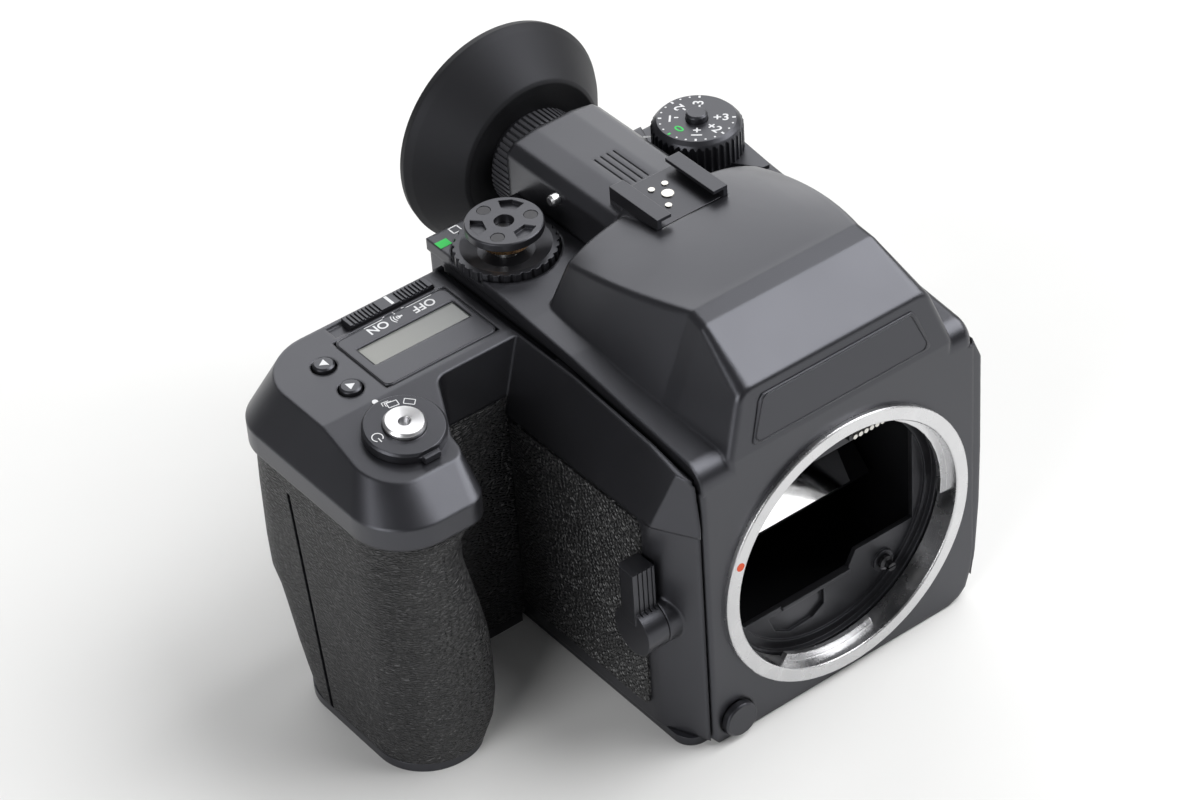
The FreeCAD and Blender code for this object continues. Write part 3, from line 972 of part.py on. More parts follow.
mountScrews = [rod("MountScrew%d" % i, "Y", "1.1", "3.4", x, "ringDeep + 0.02", z) for i, (x, z) in enumerate(screwSpots)]
node(together("MountScrews", mountScrews), "mount_ring_screws")
window = [("-baffleHalf", "baffleLow"), ("ledgeRight", "baffleLow"), ("ledgeRight + 2.4", "baffleShelf"),
          ("baffleHalf", "baffleShelf"), ("baffleHalf", "baffleHigh"), ("-baffleHalf", "baffleHigh")]
baffle = newBody("Baffle", wall, [("0", "lensHeight", "mouthRadius - 0.02"), window], "mouthDeep - 1.4", "1.38")
for name, outside, inside, level in (("BaffleStep", "0.02", "3.4", "ringDeep + 0.4"),
                                     ("BaffleCollar", "3.3", "5.6", "mouthDeep - 2.2")):
    pad(baffle, name, wall, [("0", "lensHeight", "mouthRadius - " + outside), ("0", "lensHeight", "mouthRadius - " + inside)],
        level, "mouthDeep - 1.3 - (%s)" % level)
pad(baffle, "Ledge", wall, [rect(("-ledgeLeft", "ledgeRight"), ("baffleLow - 1.1", "baffleLow"))], "mouthDeep - 2.2", "1")
pad(baffle, "CouplerBoss", wall, [("couplerRight", "couplerHigh", "bossRadius")], "mouthDeep - 2.1", "0.8")
carve(baffle, "LedgeRecess", wall, [[("-ledgeLeft - 4", "baffleLow - 2"), ("-ledgeLeft - 2", "baffleLow - 6.8"),
                                     ("-12", "baffleLow - 9.6"), ("-5", "baffleLow - 9.2"), ("-1.2", "baffleLow - 6.8"),
                                     ("-1.2", "baffleLow - 2")]], "mouthDeep - 1.5", "1")
pad(baffle, "ContactBed", wall, [rect(("5", "17"), ("lensHeight + 26.2", "lensHeight + 28.6"))],
    "lipFront + lipDeep + 0.4", "mouthDeep - lipFront - lipDeep - 1.2")
carve(baffle, "ScrewHoles", wall, [(x, z, "1.12") for x, z in screwSpots], "ringDeep", "mouthDeep - ringDeep + 1")
carve(baffle, "CouplerHole", wall, [("couplerRight", "couplerHigh", "1.3")], "mouthDeep - 3", "4")
node(baffle, "throat_baffle")
pins = [rod("ContactPin%d" % i, "-Y", "0.65", "0.8", "%g" % (6.25 + 1.7 * i), "lipFront + lipDeep + 0.4",
            "lensHeight + 27.4") for i in range(6)]
node(together("ContactPins", pins), "contact_pins")
coupler = turned("Coupler", [("0", "-1.4"), ("1.2", "-1.4"), ("1.2", "0.4"), ("2", "0.4"), ("2", "1.2"), ("1.2", "1.6"), ("1.2", "3.2"),
                             ("0", "3.2")])
carve(coupler, "Blade", plan, [rect(("-2", "2"), ("-0.25", "0.25"))], "2.4", "2")
node(coupler, "focus_coupler", "couplerRight", "mouthDeep - 2.1", "couplerHigh", axis="-Y")

# Mirror on its holder, at 45 degrees, hinged at its upper rear edge
mirrorPose = dict(x="0", y="hingeBack", z="hingeHigh", tilt="45")
holder = newBody("MirrorHolder", plan, [rect(("-mirrorHalf - 0.6", "mirrorHalf + 0.6"), ("-mirrorLong - 0.5", "-0.4"))],
                 "-mirrorGlass - mirrorPlate", "mirrorPlate")
pad(holder, "HingeBar", side, [("0", "0", "1.2")], "-boxHalf - 1.8", "boxHalf * 2 + 3.6")
node(holder, "mirror_holder", **mirrorPose)
mirror = newBody("Mirror", plan, [[("-mirrorHalf", "-1.6"), ("mirrorHalf", "-1.6"), ("mirrorHalf - 6", "-mirrorLong"),
                                   ("-mirrorHalf + 6", "-mirrorLong")]], "-mirrorGlass", "mirrorGlass")
node(mirror, "mirror_glass", **mirrorPose)

# Focusing screen and finder prism
screen = block("Screen", ("-28.3", "28.3"), ("17.2", "59.8"), ("boxRoof + 0.7", "boxRoof + 2.3"))
node(screen, "focusing_screen")
prism = newBody("FinderPrism", side, [[("15.7", "boxRoof + 4"), ("61.3", "boxRoof + 4"), ("61.3", "chassisTop - 1"),
                                       ("58.5", "chassisTop"), ("58.5", "coverFoot + 16.3"),
                                       ("34", "coverFoot + 23.3"), ("19", "coverFoot + 11.3"),
                                       ("19", "chassisTop"), ("15.7", "chassisTop - 1")]], "-29.8", "59.6")
for sign in (-1, 1):
    carve(prism, "Roof%s" % ("Left" if sign < 0 else "Right"), wall,
          [[("%g" % (29.9 * sign), "chassisTop - 0.5"), ("%g" % (26.5 * sign), "chassisTop"), ("%g" % (22 * sign), "coverFoot + 11.3"),
            ("%g" % (3 * sign), "coverFoot + 23.8"), ("%g" % (29.9 * sign), "coverFoot + 23.8")]], "15", "50")
node(prism, "finder_prism")

# Two shutter curtains of three blades each, the first closed, the second wound up
bladeHigh = 15.5
for i in range(3):
    closed = "lensHeight - gateHigh / 2 - 1.2 + %g" % (14.2 * i)
    blade = block("FirstBlade%d" % i, ("-30.6", "30.6"), ("curtainFront + %g" % (0.3 + 0.6 * i), "curtainFront + %g" % (0.7 + 0.6 * i)),
                  (closed, closed + " + %g" % bladeHigh))
    node(blade, "first_curtain_blade_%d" % (i + 1))
secondBlades = [block("SecondBlade%d" % i, ("-30.6", "30.6"),
                      ("curtainFront + %g" % (2.3 + 0.6 * i), "curtainFront + %g" % (2.7 + 0.6 * i)),
                      ("curtainHigh - %g" % bladeHigh, "curtainHigh - 0.05")) for i in range(3)]
for i, blade in enumerate(secondBlades):
    node(blade, "second_curtain_blade_%d" % (i + 1))

# Film insert with its spools, pressure plate, back and latch
cheekRoom = ("filmPlane + 1.6", "chassisRear - 0.3")
cheeks = [block("Cheek%s" % word, span, cheekRoom, ("chamberFloor + 0.6", "chamberRoof - 0.6"))
          for word, span in (("Left", ("-chamberHalf + 0.4", "-spoolLong / 2 - 0.8")), ("Right", ("spoolLong / 2 + 0.8", "chamberHalf - 0.4")))]
platen = block("InsertBridge", ("-spoolLong / 2 - 0.8", "spoolLong / 2 + 0.8"), ("filmPlane + 3", "filmPlane + 4.2"),
               ("supplyHigh + 6", "takeupHigh - 6"))
axles = [rod("Axle%s%d" % (word, i), "X", "spoolBore - running", "5", x, "spoolBack + 0.4", z)
         for i, z in enumerate(("supplyHigh", "takeupHigh"))
         for word, x in (("Left", "-spoolLong / 2 - 1"), ("Right", "spoolLong / 2 - 4"))]
node(fuse("FilmInsert", cheeks + [platen] + axles), "film_insert")
pressure = block("PressurePlate", ("-29", "29"), ("filmPlane + 0.5", "filmPlane + 2.98"), ("20", "lensHeight * 2 - 20"))
node(pressure, "pressure_plate")
for name, height in (("supply", "supplyHigh"), ("takeup", "takeupHigh")):
    spool = turned(name.capitalize() + "Spool", [("spoolBore", "0"), ("spoolRadius", "0"), ("spoolRadius", "0.8"), ("spoolCore", "0.8"),
                                                 ("spoolCore", "spoolLong - 0.8"), ("spoolRadius", "spoolLong - 0.8"),
                                                 ("spoolRadius", "spoolLong"), ("spoolBore", "spoolLong")])
    node(spool, name + "_spool", "-spoolLong / 2", "spoolBack + 0.4", height, axis="X")
back = newBody("FilmBack", wall, [rect(("-chassisLeft + 0.3", "44"), ("baseThick + 0.6", "coverFoot - 0.2"))],
               "chassisRear + 0.2", "backThick")
soften(back, "BackEdges", "2", lambda edge: edge.BoundBox.YMin > size("chassisRear") + size("backThick"))
carve(back, "LatchSeat", wall, [("0", "lensHeight", "latchRadius + 0.3")], "chassisRear + backThick - 1.3", "2")
carve(back, "TubeRoom", wall, [rect(("-tubeHalf - 0.5", "tubeHalf + 0.5"), ("eyeHeight - tubeHalf - 0.2", "coverFoot + 1"))],
      "chassisRear", "backThick + 1")
node(back, "film_back")
latch = turned("BackLatch", [("0", "0"), ("latchRadius", "0"), ("latchRadius", "1.6"), ("latchRadius - 0.4", "2"), ("0", "2")])
pad(latch, "LatchBar", plan, [rect(("-latchRadius + 1", "latchRadius - 1"), ("-1.1", "1.1"))], "1.8", "2.4")
node(latch, "back_latch", "0", "chassisRear + backThick - 1.2", "lensHeight", axis="Y")

# Preview lever: a hub on the side wall with a ribbed block above it
hub = rod("PreviewHub", "-X", "hubRadius", "hubOut - wallOuter - 0.3", "-wallOuter - 0.3", "hubBack", "hubHigh")
stem = rod("PreviewStem", "-X", "hubStem", "wallOuter + 0.4 - 46.2", "-46.2", "hubBack", "hubHigh")
grip = newBody("PreviewBlock", side, [[("hubBack - 2", "hubHigh + 3"), ("hubBack - 2", "leverTop"), ("hubBack + 4.1", "leverTop"),
                                       ("hubBack + 4.1", "hubHigh + 3")]], "-leverOut", "leverOut - wallOuter - 0.3")
soften(grip, "PreviewBevel", "1.4", lambda edge: alongAxis(edge, Z) and edge.BoundBox.XMax < 0.1 - size("leverOut")
       and edge.BoundBox.YMin > size("hubBack"))
ribsCut = together("PreviewRibs", [block("PreviewRib%d" % i, ("-leverOut + %g" % (1.4 + 1.35 * i), "-leverOut + %g" % (1.7 + 1.35 * i)),
                                         ("hubBack - 3", "hubBack - 1.6"), ("hubHigh + 5", "leverTop + 1"))
                                   for i in range(4)])
node(cut("PreviewLever", fuse("PreviewSolid", [hub, stem, grip]), ribsCut), "preview_lever")

# Lens release button with its stem, and the lock pin behind the ring
lensButton = turned("LensButton", [("0", "-6"), ("buttonRadius - 1.8", "-6"), ("buttonRadius - 1.8", "0.2"), ("buttonRadius", "0.2"),
                                   ("buttonRadius", "buttonProud - 0.4"), ("buttonRadius - 0.4", "buttonProud"),
                                   ("0", "buttonProud")])
node(lensButton, "lens_release_button", "-buttonLeft", "0", "buttonHigh", axis="-Y")

doc.recompute()
for item in doc.Objects:
    if "Invalid" in item.State or "Error" in item.State:
        raise ValueError("%s failed: %s" % (item.Name, item.State))
for piece in nodes:
    if piece.Shape.isNull() or not piece.Shape.isValid():
        raise ValueError("%s has no valid shape" % piece.Label)
os.makedirs("parts", exist_ok=True)
for piece in nodes:
    piece.Shape.exportStep("parts/%s.step" % piece.Label)
print("%d nodes" % len(nodes))
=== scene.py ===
import math

import bmesh
import bpy
from mathutils import Matrix, Vector


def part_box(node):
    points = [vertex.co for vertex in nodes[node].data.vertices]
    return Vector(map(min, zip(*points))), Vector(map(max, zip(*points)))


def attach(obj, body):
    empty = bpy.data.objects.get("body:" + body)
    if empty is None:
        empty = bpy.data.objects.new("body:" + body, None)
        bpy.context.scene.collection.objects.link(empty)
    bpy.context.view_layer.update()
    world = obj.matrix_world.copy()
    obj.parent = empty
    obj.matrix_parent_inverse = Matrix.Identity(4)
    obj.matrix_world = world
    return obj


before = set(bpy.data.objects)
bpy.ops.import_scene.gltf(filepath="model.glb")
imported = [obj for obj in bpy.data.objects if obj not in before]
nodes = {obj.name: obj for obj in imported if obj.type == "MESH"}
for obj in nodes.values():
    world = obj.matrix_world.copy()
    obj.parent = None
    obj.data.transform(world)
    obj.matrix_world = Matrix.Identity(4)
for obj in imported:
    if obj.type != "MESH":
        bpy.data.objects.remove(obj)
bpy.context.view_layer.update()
collection = bpy.context.collection
socketBack = 38.0  # the origin lies this far behind the front panel


def place(x, y, z):
    # millimetres from the lens axis, the front panel and the table, to the frame's metres
    return Vector((x, y - socketBack, z)) / 1000


def topOf(name):
    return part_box(name)[1].z * 1000


# Materials
def hexColour(code):
    # an sRGB colour such as "#1e1e21" as linear red, green, blue and full cover
    parts = [int(code[i:i + 2], 16) / 255 for i in (1, 3, 5)]
    return tuple(c / 12.92 if c <= 0.04045 else ((c + 0.055) / 1.055) ** 2.4 for c in parts) + (1.0,)


def addNode(tree, kind, settings=None, links=None):
    # settings go to the input of that name or else to the node itself
    node = tree.nodes.new(kind)
    for name, value in (settings or {}).items():
        if name in node.inputs:
            node.inputs[name].default_value = value
        else:
            setattr(node, name, value)
    for name, socket in (links or {}).items():
        tree.links.new(socket, node.inputs[name])
    return node


def newFinish(name, settings):
    material = bpy.data.materials.new(name)
    material.use_nodes = True
    tree = material.node_tree
    tree.nodes.clear()
    shader = addNode(tree, "ShaderNodeBsdfPrincipled", settings)
    addNode(tree, "ShaderNodeOutputMaterial", None, {"Surface": shader.outputs["BSDF"]})
    spot = addNode(tree, "ShaderNodeTexCoord").outputs["Object"]
    return material, tree, shader, spot


def mixColour(tree, factor, low, high):
    mix = addNode(tree, "ShaderNodeMix", {"data_type": "RGBA"}, {"Factor": factor})
    mix.inputs[6].default_value = hexColour(low)
    mix.inputs[7].default_value = hexColour(high)
    return mix.outputs[2]


def spread(tree, value, low, high, fromLow=0.0, fromHigh=1.0):
    # the value carried from one range to another
    limits = {"From Min": fromLow, "From Max": fromHigh, "To Min": low, "To Max": high}
    return addNode(tree, "ShaderNodeMapRange", limits, {"Value": value}).outputs["Result"]


def maths(tree, operation, first, second=None):
    node = addNode(tree, "ShaderNodeMath", {"operation": operation})
    for index, value in enumerate((first, second)):
        if isinstance(value, (int, float)):
            node.inputs[index].default_value = value
        elif value is not None:
            tree.links.new(value, node.inputs[index])
    return node.outputs[0]


def varySurface(tree, shader, factor, look, below, above):
    # colour and roughness wander together with the factor
    tree.links.new(mixColour(tree, factor, look["dark"], look["light"]), shader.inputs["Base Color"])
    rough = spread(tree, factor, look["roughness"] - below, look["roughness"] + above, 0.3, 0.7)
    tree.links.new(rough, shader.inputs["Roughness"])


def softBump(tree, shader, height, look):
    # fine relief on a normal that rounds the edges off
    soft = addNode(tree, "ShaderNodeBevel", {"samples": look["edgeSamples"], "Radius": look["edge"]})
    relief = {"Strength": look["relief"], "Distance": look["depth"]}
    bump = addNode(tree, "ShaderNodeBump", relief, {"Height": height, "Normal": soft.outputs["Normal"]})
    tree.links.new(bump.outputs["Normal"], shader.inputs["Normal"])


def mouldedPlastic(name, look):
    # satin black moulding: fine eroded grain, broad handling marks and slightly softened edges
    sheen = {"Specular IOR Level": look["specular"], "Specular Tint": hexColour(look["sheenTint"])}
    material, tree, shader, spot = newFinish(name, sheen)
    grain = addNode(tree, "ShaderNodeTexNoise", {"Scale": look["grainScale"]}, {"Vector": spot})
    smudge = addNode(tree, "ShaderNodeTexNoise", look["smudge"], {"Vector": spot})
    varySurface(tree, shader, smudge.outputs["Fac"], look, 0.03, 0.03)
    softBump(tree, shader, grain.outputs["Fac"], look)
    return material


def grainedSkin(name, look):
    # leather-like grain: wandering wrinkles with rounded pebbles between deep creases, which get painted
    # shade
    material, tree, shader, spot = newFinish(name, {"Specular IOR Level": look["specular"]})
    stretch = addNode(tree, "ShaderNodeMapping", {"Scale": look["stretch"]}, {"Vector": spot})
    wanderSettings = {"Scale": look["scale"] / 2}
    wander = addNode(tree, "ShaderNodeTexNoise", wanderSettings, {"Vector": stretch.outputs[0]})
    bend = addNode(tree, "ShaderNodeMix", {"data_type": "VECTOR", "Factor": look["wander"]})
    tree.links.new(stretch.outputs[0], bend.inputs[4])
    tree.links.new(wander.outputs["Color"], bend.inputs[5])
    cellSettings = {"feature": "DISTANCE_TO_EDGE", "Scale": look["scale"]}
    cells = addNode(tree, "ShaderNodeTexVoronoi", cellSettings, {"Vector": bend.outputs[1]})
    pebble = spread(tree, cells.outputs["Distance"], 0.0, 1.0, 0.0, look["crease"])
    fineSettings = {"Scale": look["scale"] * 2.6, "Detail": 3.0}
    fine = addNode(tree, "ShaderNodeTexNoise", fineSettings, {"Vector": spot})
    height = maths(tree, "ADD", pebble, maths(tree, "MULTIPLY", fine.outputs["Fac"], look["fine"]))
    for seam in look.get("seams", ()):
        groove = seamMask(tree, spot, seam)
        height = maths(tree, "SUBTRACT", height, groove)
        tree.links.new(spread(tree, groove, look["specular"], 0.0), shader.inputs["Specular IOR Level"])
    # painted shade: the creases take the dark colour and the pebble tops the light one
    tree.links.new(mixColour(tree, pebble, look["dark"], look["light"]), shader.inputs["Base Color"])
    rough = spread(tree, pebble, look["roughness"] + look["creaseRougher"], look["roughness"])
    tree.links.new(rough, shader.inputs["Roughness"])
    relief = {"Strength": look["relief"], "Distance": look["depth"]}
    bump = addNode(tree, "ShaderNodeBump", relief, {"Height": height})
    tree.links.new(bump.outputs["Normal"], shader.inputs["Normal"])
    return material


def seamMask(tree, spot, seam):
    # 1 inside a narrow groove that runs up the skin as the line back = foot + lean * height, 0 elsewhere
    axes = addNode(tree, "ShaderNodeSeparateXYZ", None, {"Vector": spot})
    foot = (seam["foot"] - socketBack) / 1000
    line = maths(tree, "ADD", maths(tree, "MULTIPLY", axes.outputs["Z"], seam["lean"]), foot)
    away = maths(tree, "ABSOLUTE", maths(tree, "SUBTRACT", axes.outputs["Y"], line))
    inside = spread(tree, away, seam["depth"], 0.0, 0.0, seam["half"] / 1000)
    outer = maths(tree, "LESS_THAN", axes.outputs["X"], seam["left"] / 1000)
    low = maths(tree, "LESS_THAN", axes.outputs["Z"], seam["top"] / 1000)
    return maths(tree, "MULTIPLY", maths(tree, "MULTIPLY", inside, outer), low)


def metal(name, look):
    # bare metal with a fine lap and a few faint scuffs
    material, tree, shader, spot = newFinish(name, {"Metallic": 1.0})
    scuffSettings = {"Scale": look["scuffScale"], "Detail": 4.0}
    scuff = addNode(tree, "ShaderNodeTexNoise", scuffSettings, {"Vector": spot})
    varySurface(tree, shader, scuff.outputs["Fac"], look, 0.04, 0.06)
    softBump(tree, shader, scuff.outputs["Fac"], look)
    return material


def turnedMetal(name, look):
    # bright ring faced on a lathe: fine circles round the lens axis catch the light in two fans
    material, tree, shader, spot = newFinish(name, {"Metallic": 1.0, "Anisotropic": 0.4})
    toAxis = {"Location": (0, 0, -look["axisHigh"] / 1000)}
    centred = addNode(tree, "ShaderNodeMapping", toAxis, {"Vector": spot})
    lathe = {"wave_type": "RINGS", "rings_direction": "Y", "Scale": look["circles"], "Distortion": 0.4,
             "Detail": 2.0, "Detail Scale": 2.0}
    circles = addNode(tree, "ShaderNodeTexWave", lathe, {"Vector": centred.outputs[0]})
    wear = addNode(tree, "ShaderNodeTexNoise", {"Scale": 160.0, "Detail": 3.0}, {"Vector": spot})
    varySurface(tree, shader, wear.outputs["Fac"], look, 0.05, 0.05)
    softBump(tree, shader, circles.outputs["Fac"], look)
    return material


def clearGlass(name, tint, rough):
    # polished glass with the faintest haze
    settings = {"Transmission Weight": 1.0, "IOR": 1.5, "Base Color": hexColour(tint)}
    material, tree, shader, spot = newFinish(name, settings)
    haze = addNode(tree, "ShaderNodeTexNoise", {"Scale": 60.0}, {"Vector": spot})
    tree.links.new(spread(tree, haze.outputs["Fac"], rough, rough + 0.02), shader.inputs["Roughness"])
    return material


def displayFinish(name):
    # a grey liquid crystal sheet under a clear window: soft grey, glossy on top, with painted light that
    # makes it paler to one end
    sheet = {"Coat Weight": 1.0, "Coat Roughness": 0.04, "Roughness": 0.6}
    material, tree, shader, spot = newFinish(name, sheet)
    # painted light: the sheet fades from pale at one end to darker at the other, as light falls across it
    litEnd = -0.076
    shadedEnd = -0.048
    axes = addNode(tree, "ShaderNodeSeparateXYZ", None, {"Vector": spot})
    along = spread(tree, axes.outputs["X"], 0.0, 1.0, litEnd, shadedEnd)
    cloud = addNode(tree, "ShaderNodeTexNoise", {"Scale": 90.0}, {"Vector": spot})
    slope = maths(tree, "MULTIPLY", along, 0.8)
    shade = maths(tree, "ADD", slope, maths(tree, "MULTIPLY", cloud.outputs["Fac"], 0.2))
    tree.links.new(mixColour(tree, shade, "#7d7e79", "#5c5f5e"), shader.inputs["Base Color"])
    return material


def printedPaint(name, code, rough=0.5):
    # screen print: flat and a little uneven in its ink
    settings = {"Specular IOR Level": 0.4, "Base Color": hexColour(code)}
    material, tree, shader, spot = newFinish(name, settings)
    wear = addNode(tree, "ShaderNodeTexNoise", {"Scale": 900.0}, {"Vector": spot})
    unevenRough = spread(tree, wear.outputs["Fac"], rough - 0.05, rough + 0.1)
    tree.links.new(unevenRough, shader.inputs["Roughness"])
    return material


# Moulded blacks share one satin look; each line says how a piece departs from it
plasticLook = {"dark": "#19191b", "light": "#1e1e21", "roughness": 0.33, "specular": 0.8,
               "sheenTint": "#f1f3ff", "smudge": {"Scale": 45.0, "Detail": 3.0}, "grainScale": 3600.0,
               "relief": 0.3, "depth": 0.00004, "edge": 0.0011, "edgeSamples": 6}
tubeLook = dict(plasticLook, edge=0.0018)
controlLook = dict(plasticLook, roughness=0.34, edge=0.00025)
innerLook = dict(plasticLook, dark="#08080a", light="#0d0d0f", roughness=0.6, specular=0.35, edge=0.0002)
throatLook = dict(plasticLook, dark="#151517", light="#1b1b1d", roughness=0.4, specular=0.5, edge=0.0003)
# painted light: the knurled ring is a paler grey than the other blacks to stand in for the light it catches
knurlLook = dict(plasticLook, dark="#333336", light="#3d3d40", roughness=0.42, edge=0.0001)
blackMetalLook = dict(plasticLook, roughness=0.3, specular=0.7, edge=0.0003)
eyecupLook = dict(plasticLook, dark="#151516", light="#1a1a1b", roughness=0.56, specular=0.3,
                  grainScale=2600.0, edge=0.0008)

# Grained skins: wrinkles run across the grip, the side panels have rounder pebbles
gripSeam = {"foot": 69.8, "lean": 0.115, "half": 0.9, "depth": 2.6, "left": -99.0, "top": 66.0}
# in the skins, dark is the painted shade in the creases and light is the pebble tops
gripLook = {"dark": "#08080a", "light": "#222225", "scale": 760.0, "wander": 0.0008,
            "stretch": (0.7, 0.7, 2.0), "crease": 0.3, "creaseRougher": 0.15, "roughness": 0.42,
            "fine": 0.25, "relief": 1.0, "depth": 0.0005, "specular": 0.7, "seams": [gripSeam]}
leatherLook = {"dark": "#0d0d0e", "light": "#1e1e20", "scale": 900.0, "wander": 0.0005,
               "stretch": (1.0, 0.9, 1.15), "crease": 0.34, "creaseRougher": 0.15, "roughness": 0.32,
               "fine": 0.2, "relief": 1.0, "depth": 0.0004, "specular": 0.9}

# Bare metals
metalLook = {"scuffScale": 1500.0, "relief": 0.06, "depth": 0.00003, "edge": 0.0001, "edgeSamples": 4}
ringLook = {"dark": "#c9c9cb", "light": "#dededf", "roughness": 0.27, "circles": 160.0, "axisHigh": 40.2,
            "relief": 0.1, "depth": 0.00002, "edge": 0.00035, "edgeSamples": 4}
chromeLook = dict(metalLook, dark="#d2d2d4", light="#dededf", roughness=0.3, scuffScale=200.0,
                  edge=0.0003)
contactLook = dict(metalLook, dark="#c8c6c0", light="#dedcd6", roughness=0.34, scuffScale=2000.0)
brassLook = dict(metalLook, dark="#9a6a3c", light="#d6b48a", roughness=0.28)
darkSteelLook = dict(metalLook, dark="#2b2b2c", light="#3a3a3c", roughness=0.35)
screwLook = dict(metalLook, dark="#38383a", light="#505052", roughness=0.34)
steelLook = dict(metalLook, dark="#8b8b8c", light="#a8a8a9", roughness=0.32, scuffScale=1200.0,
                 edge=0.0002)
mirrorLook = dict(metalLook, dark="#f0f0f0", light="#f6f6f6", roughness=0.07, scuffScale=200.0)

finishes = {
    "cover": mouldedPlastic("satinBlackCover", plasticLook),
    "tube": mouldedPlastic("satinBlackHousing", tubeLook),
    "control": mouldedPlastic("blackControls", controlLook),
    "inner": mouldedPlastic("flatBlackInside", innerLook),
    "throat": mouldedPlastic("blackThroat", throatLook),
    "knurl": mouldedPlastic("knurledRing", knurlLook),
    "blackMetal": mouldedPlastic("blackPlatedSteel", blackMetalLook),
    "grip": grainedSkin("grainedGripRubber", gripLook),
    "leather": grainedSkin("grainedSidePanel", leatherLook),
    "eyecup": mouldedPlastic("eyecupRubber", eyecupLook),
    "ring": turnedMetal("turnedRing", ringLook),
    "chrome": metal("satinChrome", chromeLook),
    "contact": metal("silverContact", contactLook),
    "brass": metal("springBrass", brassLook),
    "darkSteel": metal("blackenedSteel", darkSteelLook),
    "screw": metal("greyScrew", screwLook),
    "steel": metal("machinedSteel", steelLook),
    "mirror": metal("silveredMirror", mirrorLook),
    "lens": clearGlass("eyepieceGlass", "#e8eef0", 0.0),
    "screen": clearGlass("groundScreen", "#dcdcda", 0.5),
    "window": displayFinish("displaySheet"),
    "white": printedPaint("whitePrint", "#d9dadc"),
    "green": printedPaint("greenPrint", "#2fbf55"),
    "orange": printedPaint("orangeDot", "#e0501c", 0.35),
}

curtainBlades = ["%s_curtain_blade_%d" % (word, i) for word in ("first", "second") for i in (1, 2, 3)]
nodeFinish = {
    "cover": ["top_cover", "grip_cap", "film_back", "side_shell", "left_side_cover", "name_plate",
              "display_bezel"],
    "tube": ["eyepiece_housing"],
    "knurl": ["dioptre_ring"],
    "control": ["speed_dial_carrier", "metering_ring", "compensation_dial", "dial_lock_button",
                "compensation_lever", "grip_foot", "battery_lock", "main_switch", "up_button",
                "down_button", "drive_dial", "preview_lever", "supply_spool", "takeup_spool",
                "film_insert"],
    "inner": ["chassis", "grip_core", "mirror_holder"],
    "throat": ["throat_baffle"],
    "blackMetal": ["base_plate", "accessory_shoe", "back_latch", "lens_release_button",
                   "pressure_plate"],
    "grip": ["grip_rubber"],
    "leather": ["leatherette_panels"],
    "eyecup": ["eyecup"],
    "ring": ["mount_ring"],
    "chrome": ["release_button", "eyepiece_stud"],
    "contact": ["shoe_contacts", "contact_pins"],
    "brass": ["click_spring", "battery_cells"],
    "darkSteel": ["mount_ring_screws"] + curtainBlades,
    "screw": ["carrier_screws", "focus_coupler"],
    "steel": ["tripod_sockets", "dial_posts"],
    "mirror": ["mirror_glass"],
    "lens": ["eyepiece_lens", "finder_prism"],
    "screen": ["focusing_screen"],
    "window": ["display_glass"],
}
for key, names in nodeFinish.items():
    for name in names:
        for slot in nodes[name].material_slots:
            slot.material = finishes[key]
print("finishes on %d nodes" % sum(len(names) for names in nodeFinish.values()))


# Flat drawing on a face of the camera: millimetres right and up from an origin
def surfaceAt(origin, right, up):
    right, up = Vector(right).normalized(), Vector(up).normalized()
    turn = Matrix((right, up, right.cross(up))).transposed().to_4x4()
    return Matrix.Translation(place(*origin)) @ turn @ Matrix.Scale(0.001, 4)


inkLift = 0.04  # prints stand this far off the plastic
inkThick = 0.03
capitalShare = 0.69  # capitals are this much of the type size
boldShare = 0.025  # the strokes are widened by this much of the capitals


def drawPolygon(drawing, face, points):
    drawing.faces.new([drawing.verts.new(face @ Vector((u, v, inkLift))) for u, v in points])


def drawBar(drawing, face, start, end, width):
    start, end = Vector(start), Vector(end)
    along = (end - start).normalized()
    across = Vector((-along.y, along.x)) * width / 2
    drawPolygon(drawing, face, [start - across, end - across, end + across, start + across])


def roundPoint(centre, radius, angle):
    return centre[0] + radius * math.cos(angle), centre[1] + radius * math.sin(angle)


def drawArc(drawing, face, centre, radius, width, fromTurn, toTurn, steps=24):
    inner, outer = radius - width / 2, radius + width / 2
    for i in range(steps):
        start, end = [math.radians(fromTurn + (toTurn - fromTurn) * k / steps) for k in (i, i + 1)]
        corners = [(inner, start), (outer, start), (outer, end), (inner, end)]
        drawPolygon(drawing, face, [roundPoint(centre, reach, angle) for reach, angle in corners])


def drawDot(drawing, face, centre, radius, steps=20):
    angles = [2 * math.pi * i / steps for i in range(steps)]
    drawPolygon(drawing, face, [roundPoint(centre, radius, angle) for angle in angles])


def drawFrame(drawing, face, centre, wide, high, width, turn=0.0):
    lean = Matrix.Rotation(turn, 2)
    corners = []
    for side, end in ((-1, -1), (1, -1), (1, 1), (-1, 1)):
        corners.append(Vector(centre[:2]) + lean @ Vector((side * wide / 2, end * high / 2)))
    for i in range(4):
        drawBar(drawing, face, corners[i], corners[(i + 1) % 4], width)


def drawText(drawing, face, words, high, centre, turn=0.0):
    curve = bpy.data.curves.new("words", "FONT")
    curve.body = words
    curve.size = high / capitalShare
    curve.align_x = "CENTER"
    curve.align_y = "CENTER"
    curve.resolution_u = 4
    curve.offset = high * boldShare
    writing = bpy.data.objects.new("words", curve)
    collection.objects.link(writing)
    flat = writing.to_mesh()
    stand = Matrix.Translation((centre[0], centre[1], inkLift)) @ Matrix.Rotation(turn, 4, "Z")
    flat.transform(face @ stand)
    drawing.from_mesh(flat)
    writing.to_mesh_clear()
    bpy.data.objects.remove(writing)
    bpy.data.curves.remove(curve)


def finishPiece(name, mesh, body, finish, smooth=False):
    for polygon in mesh.polygons:
        polygon.use_smooth = smooth
    mesh.materials.append(finishes[finish])
    piece = bpy.data.objects.new(name, mesh)
    collection.objects.link(piece)
    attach(piece, body)
    return piece


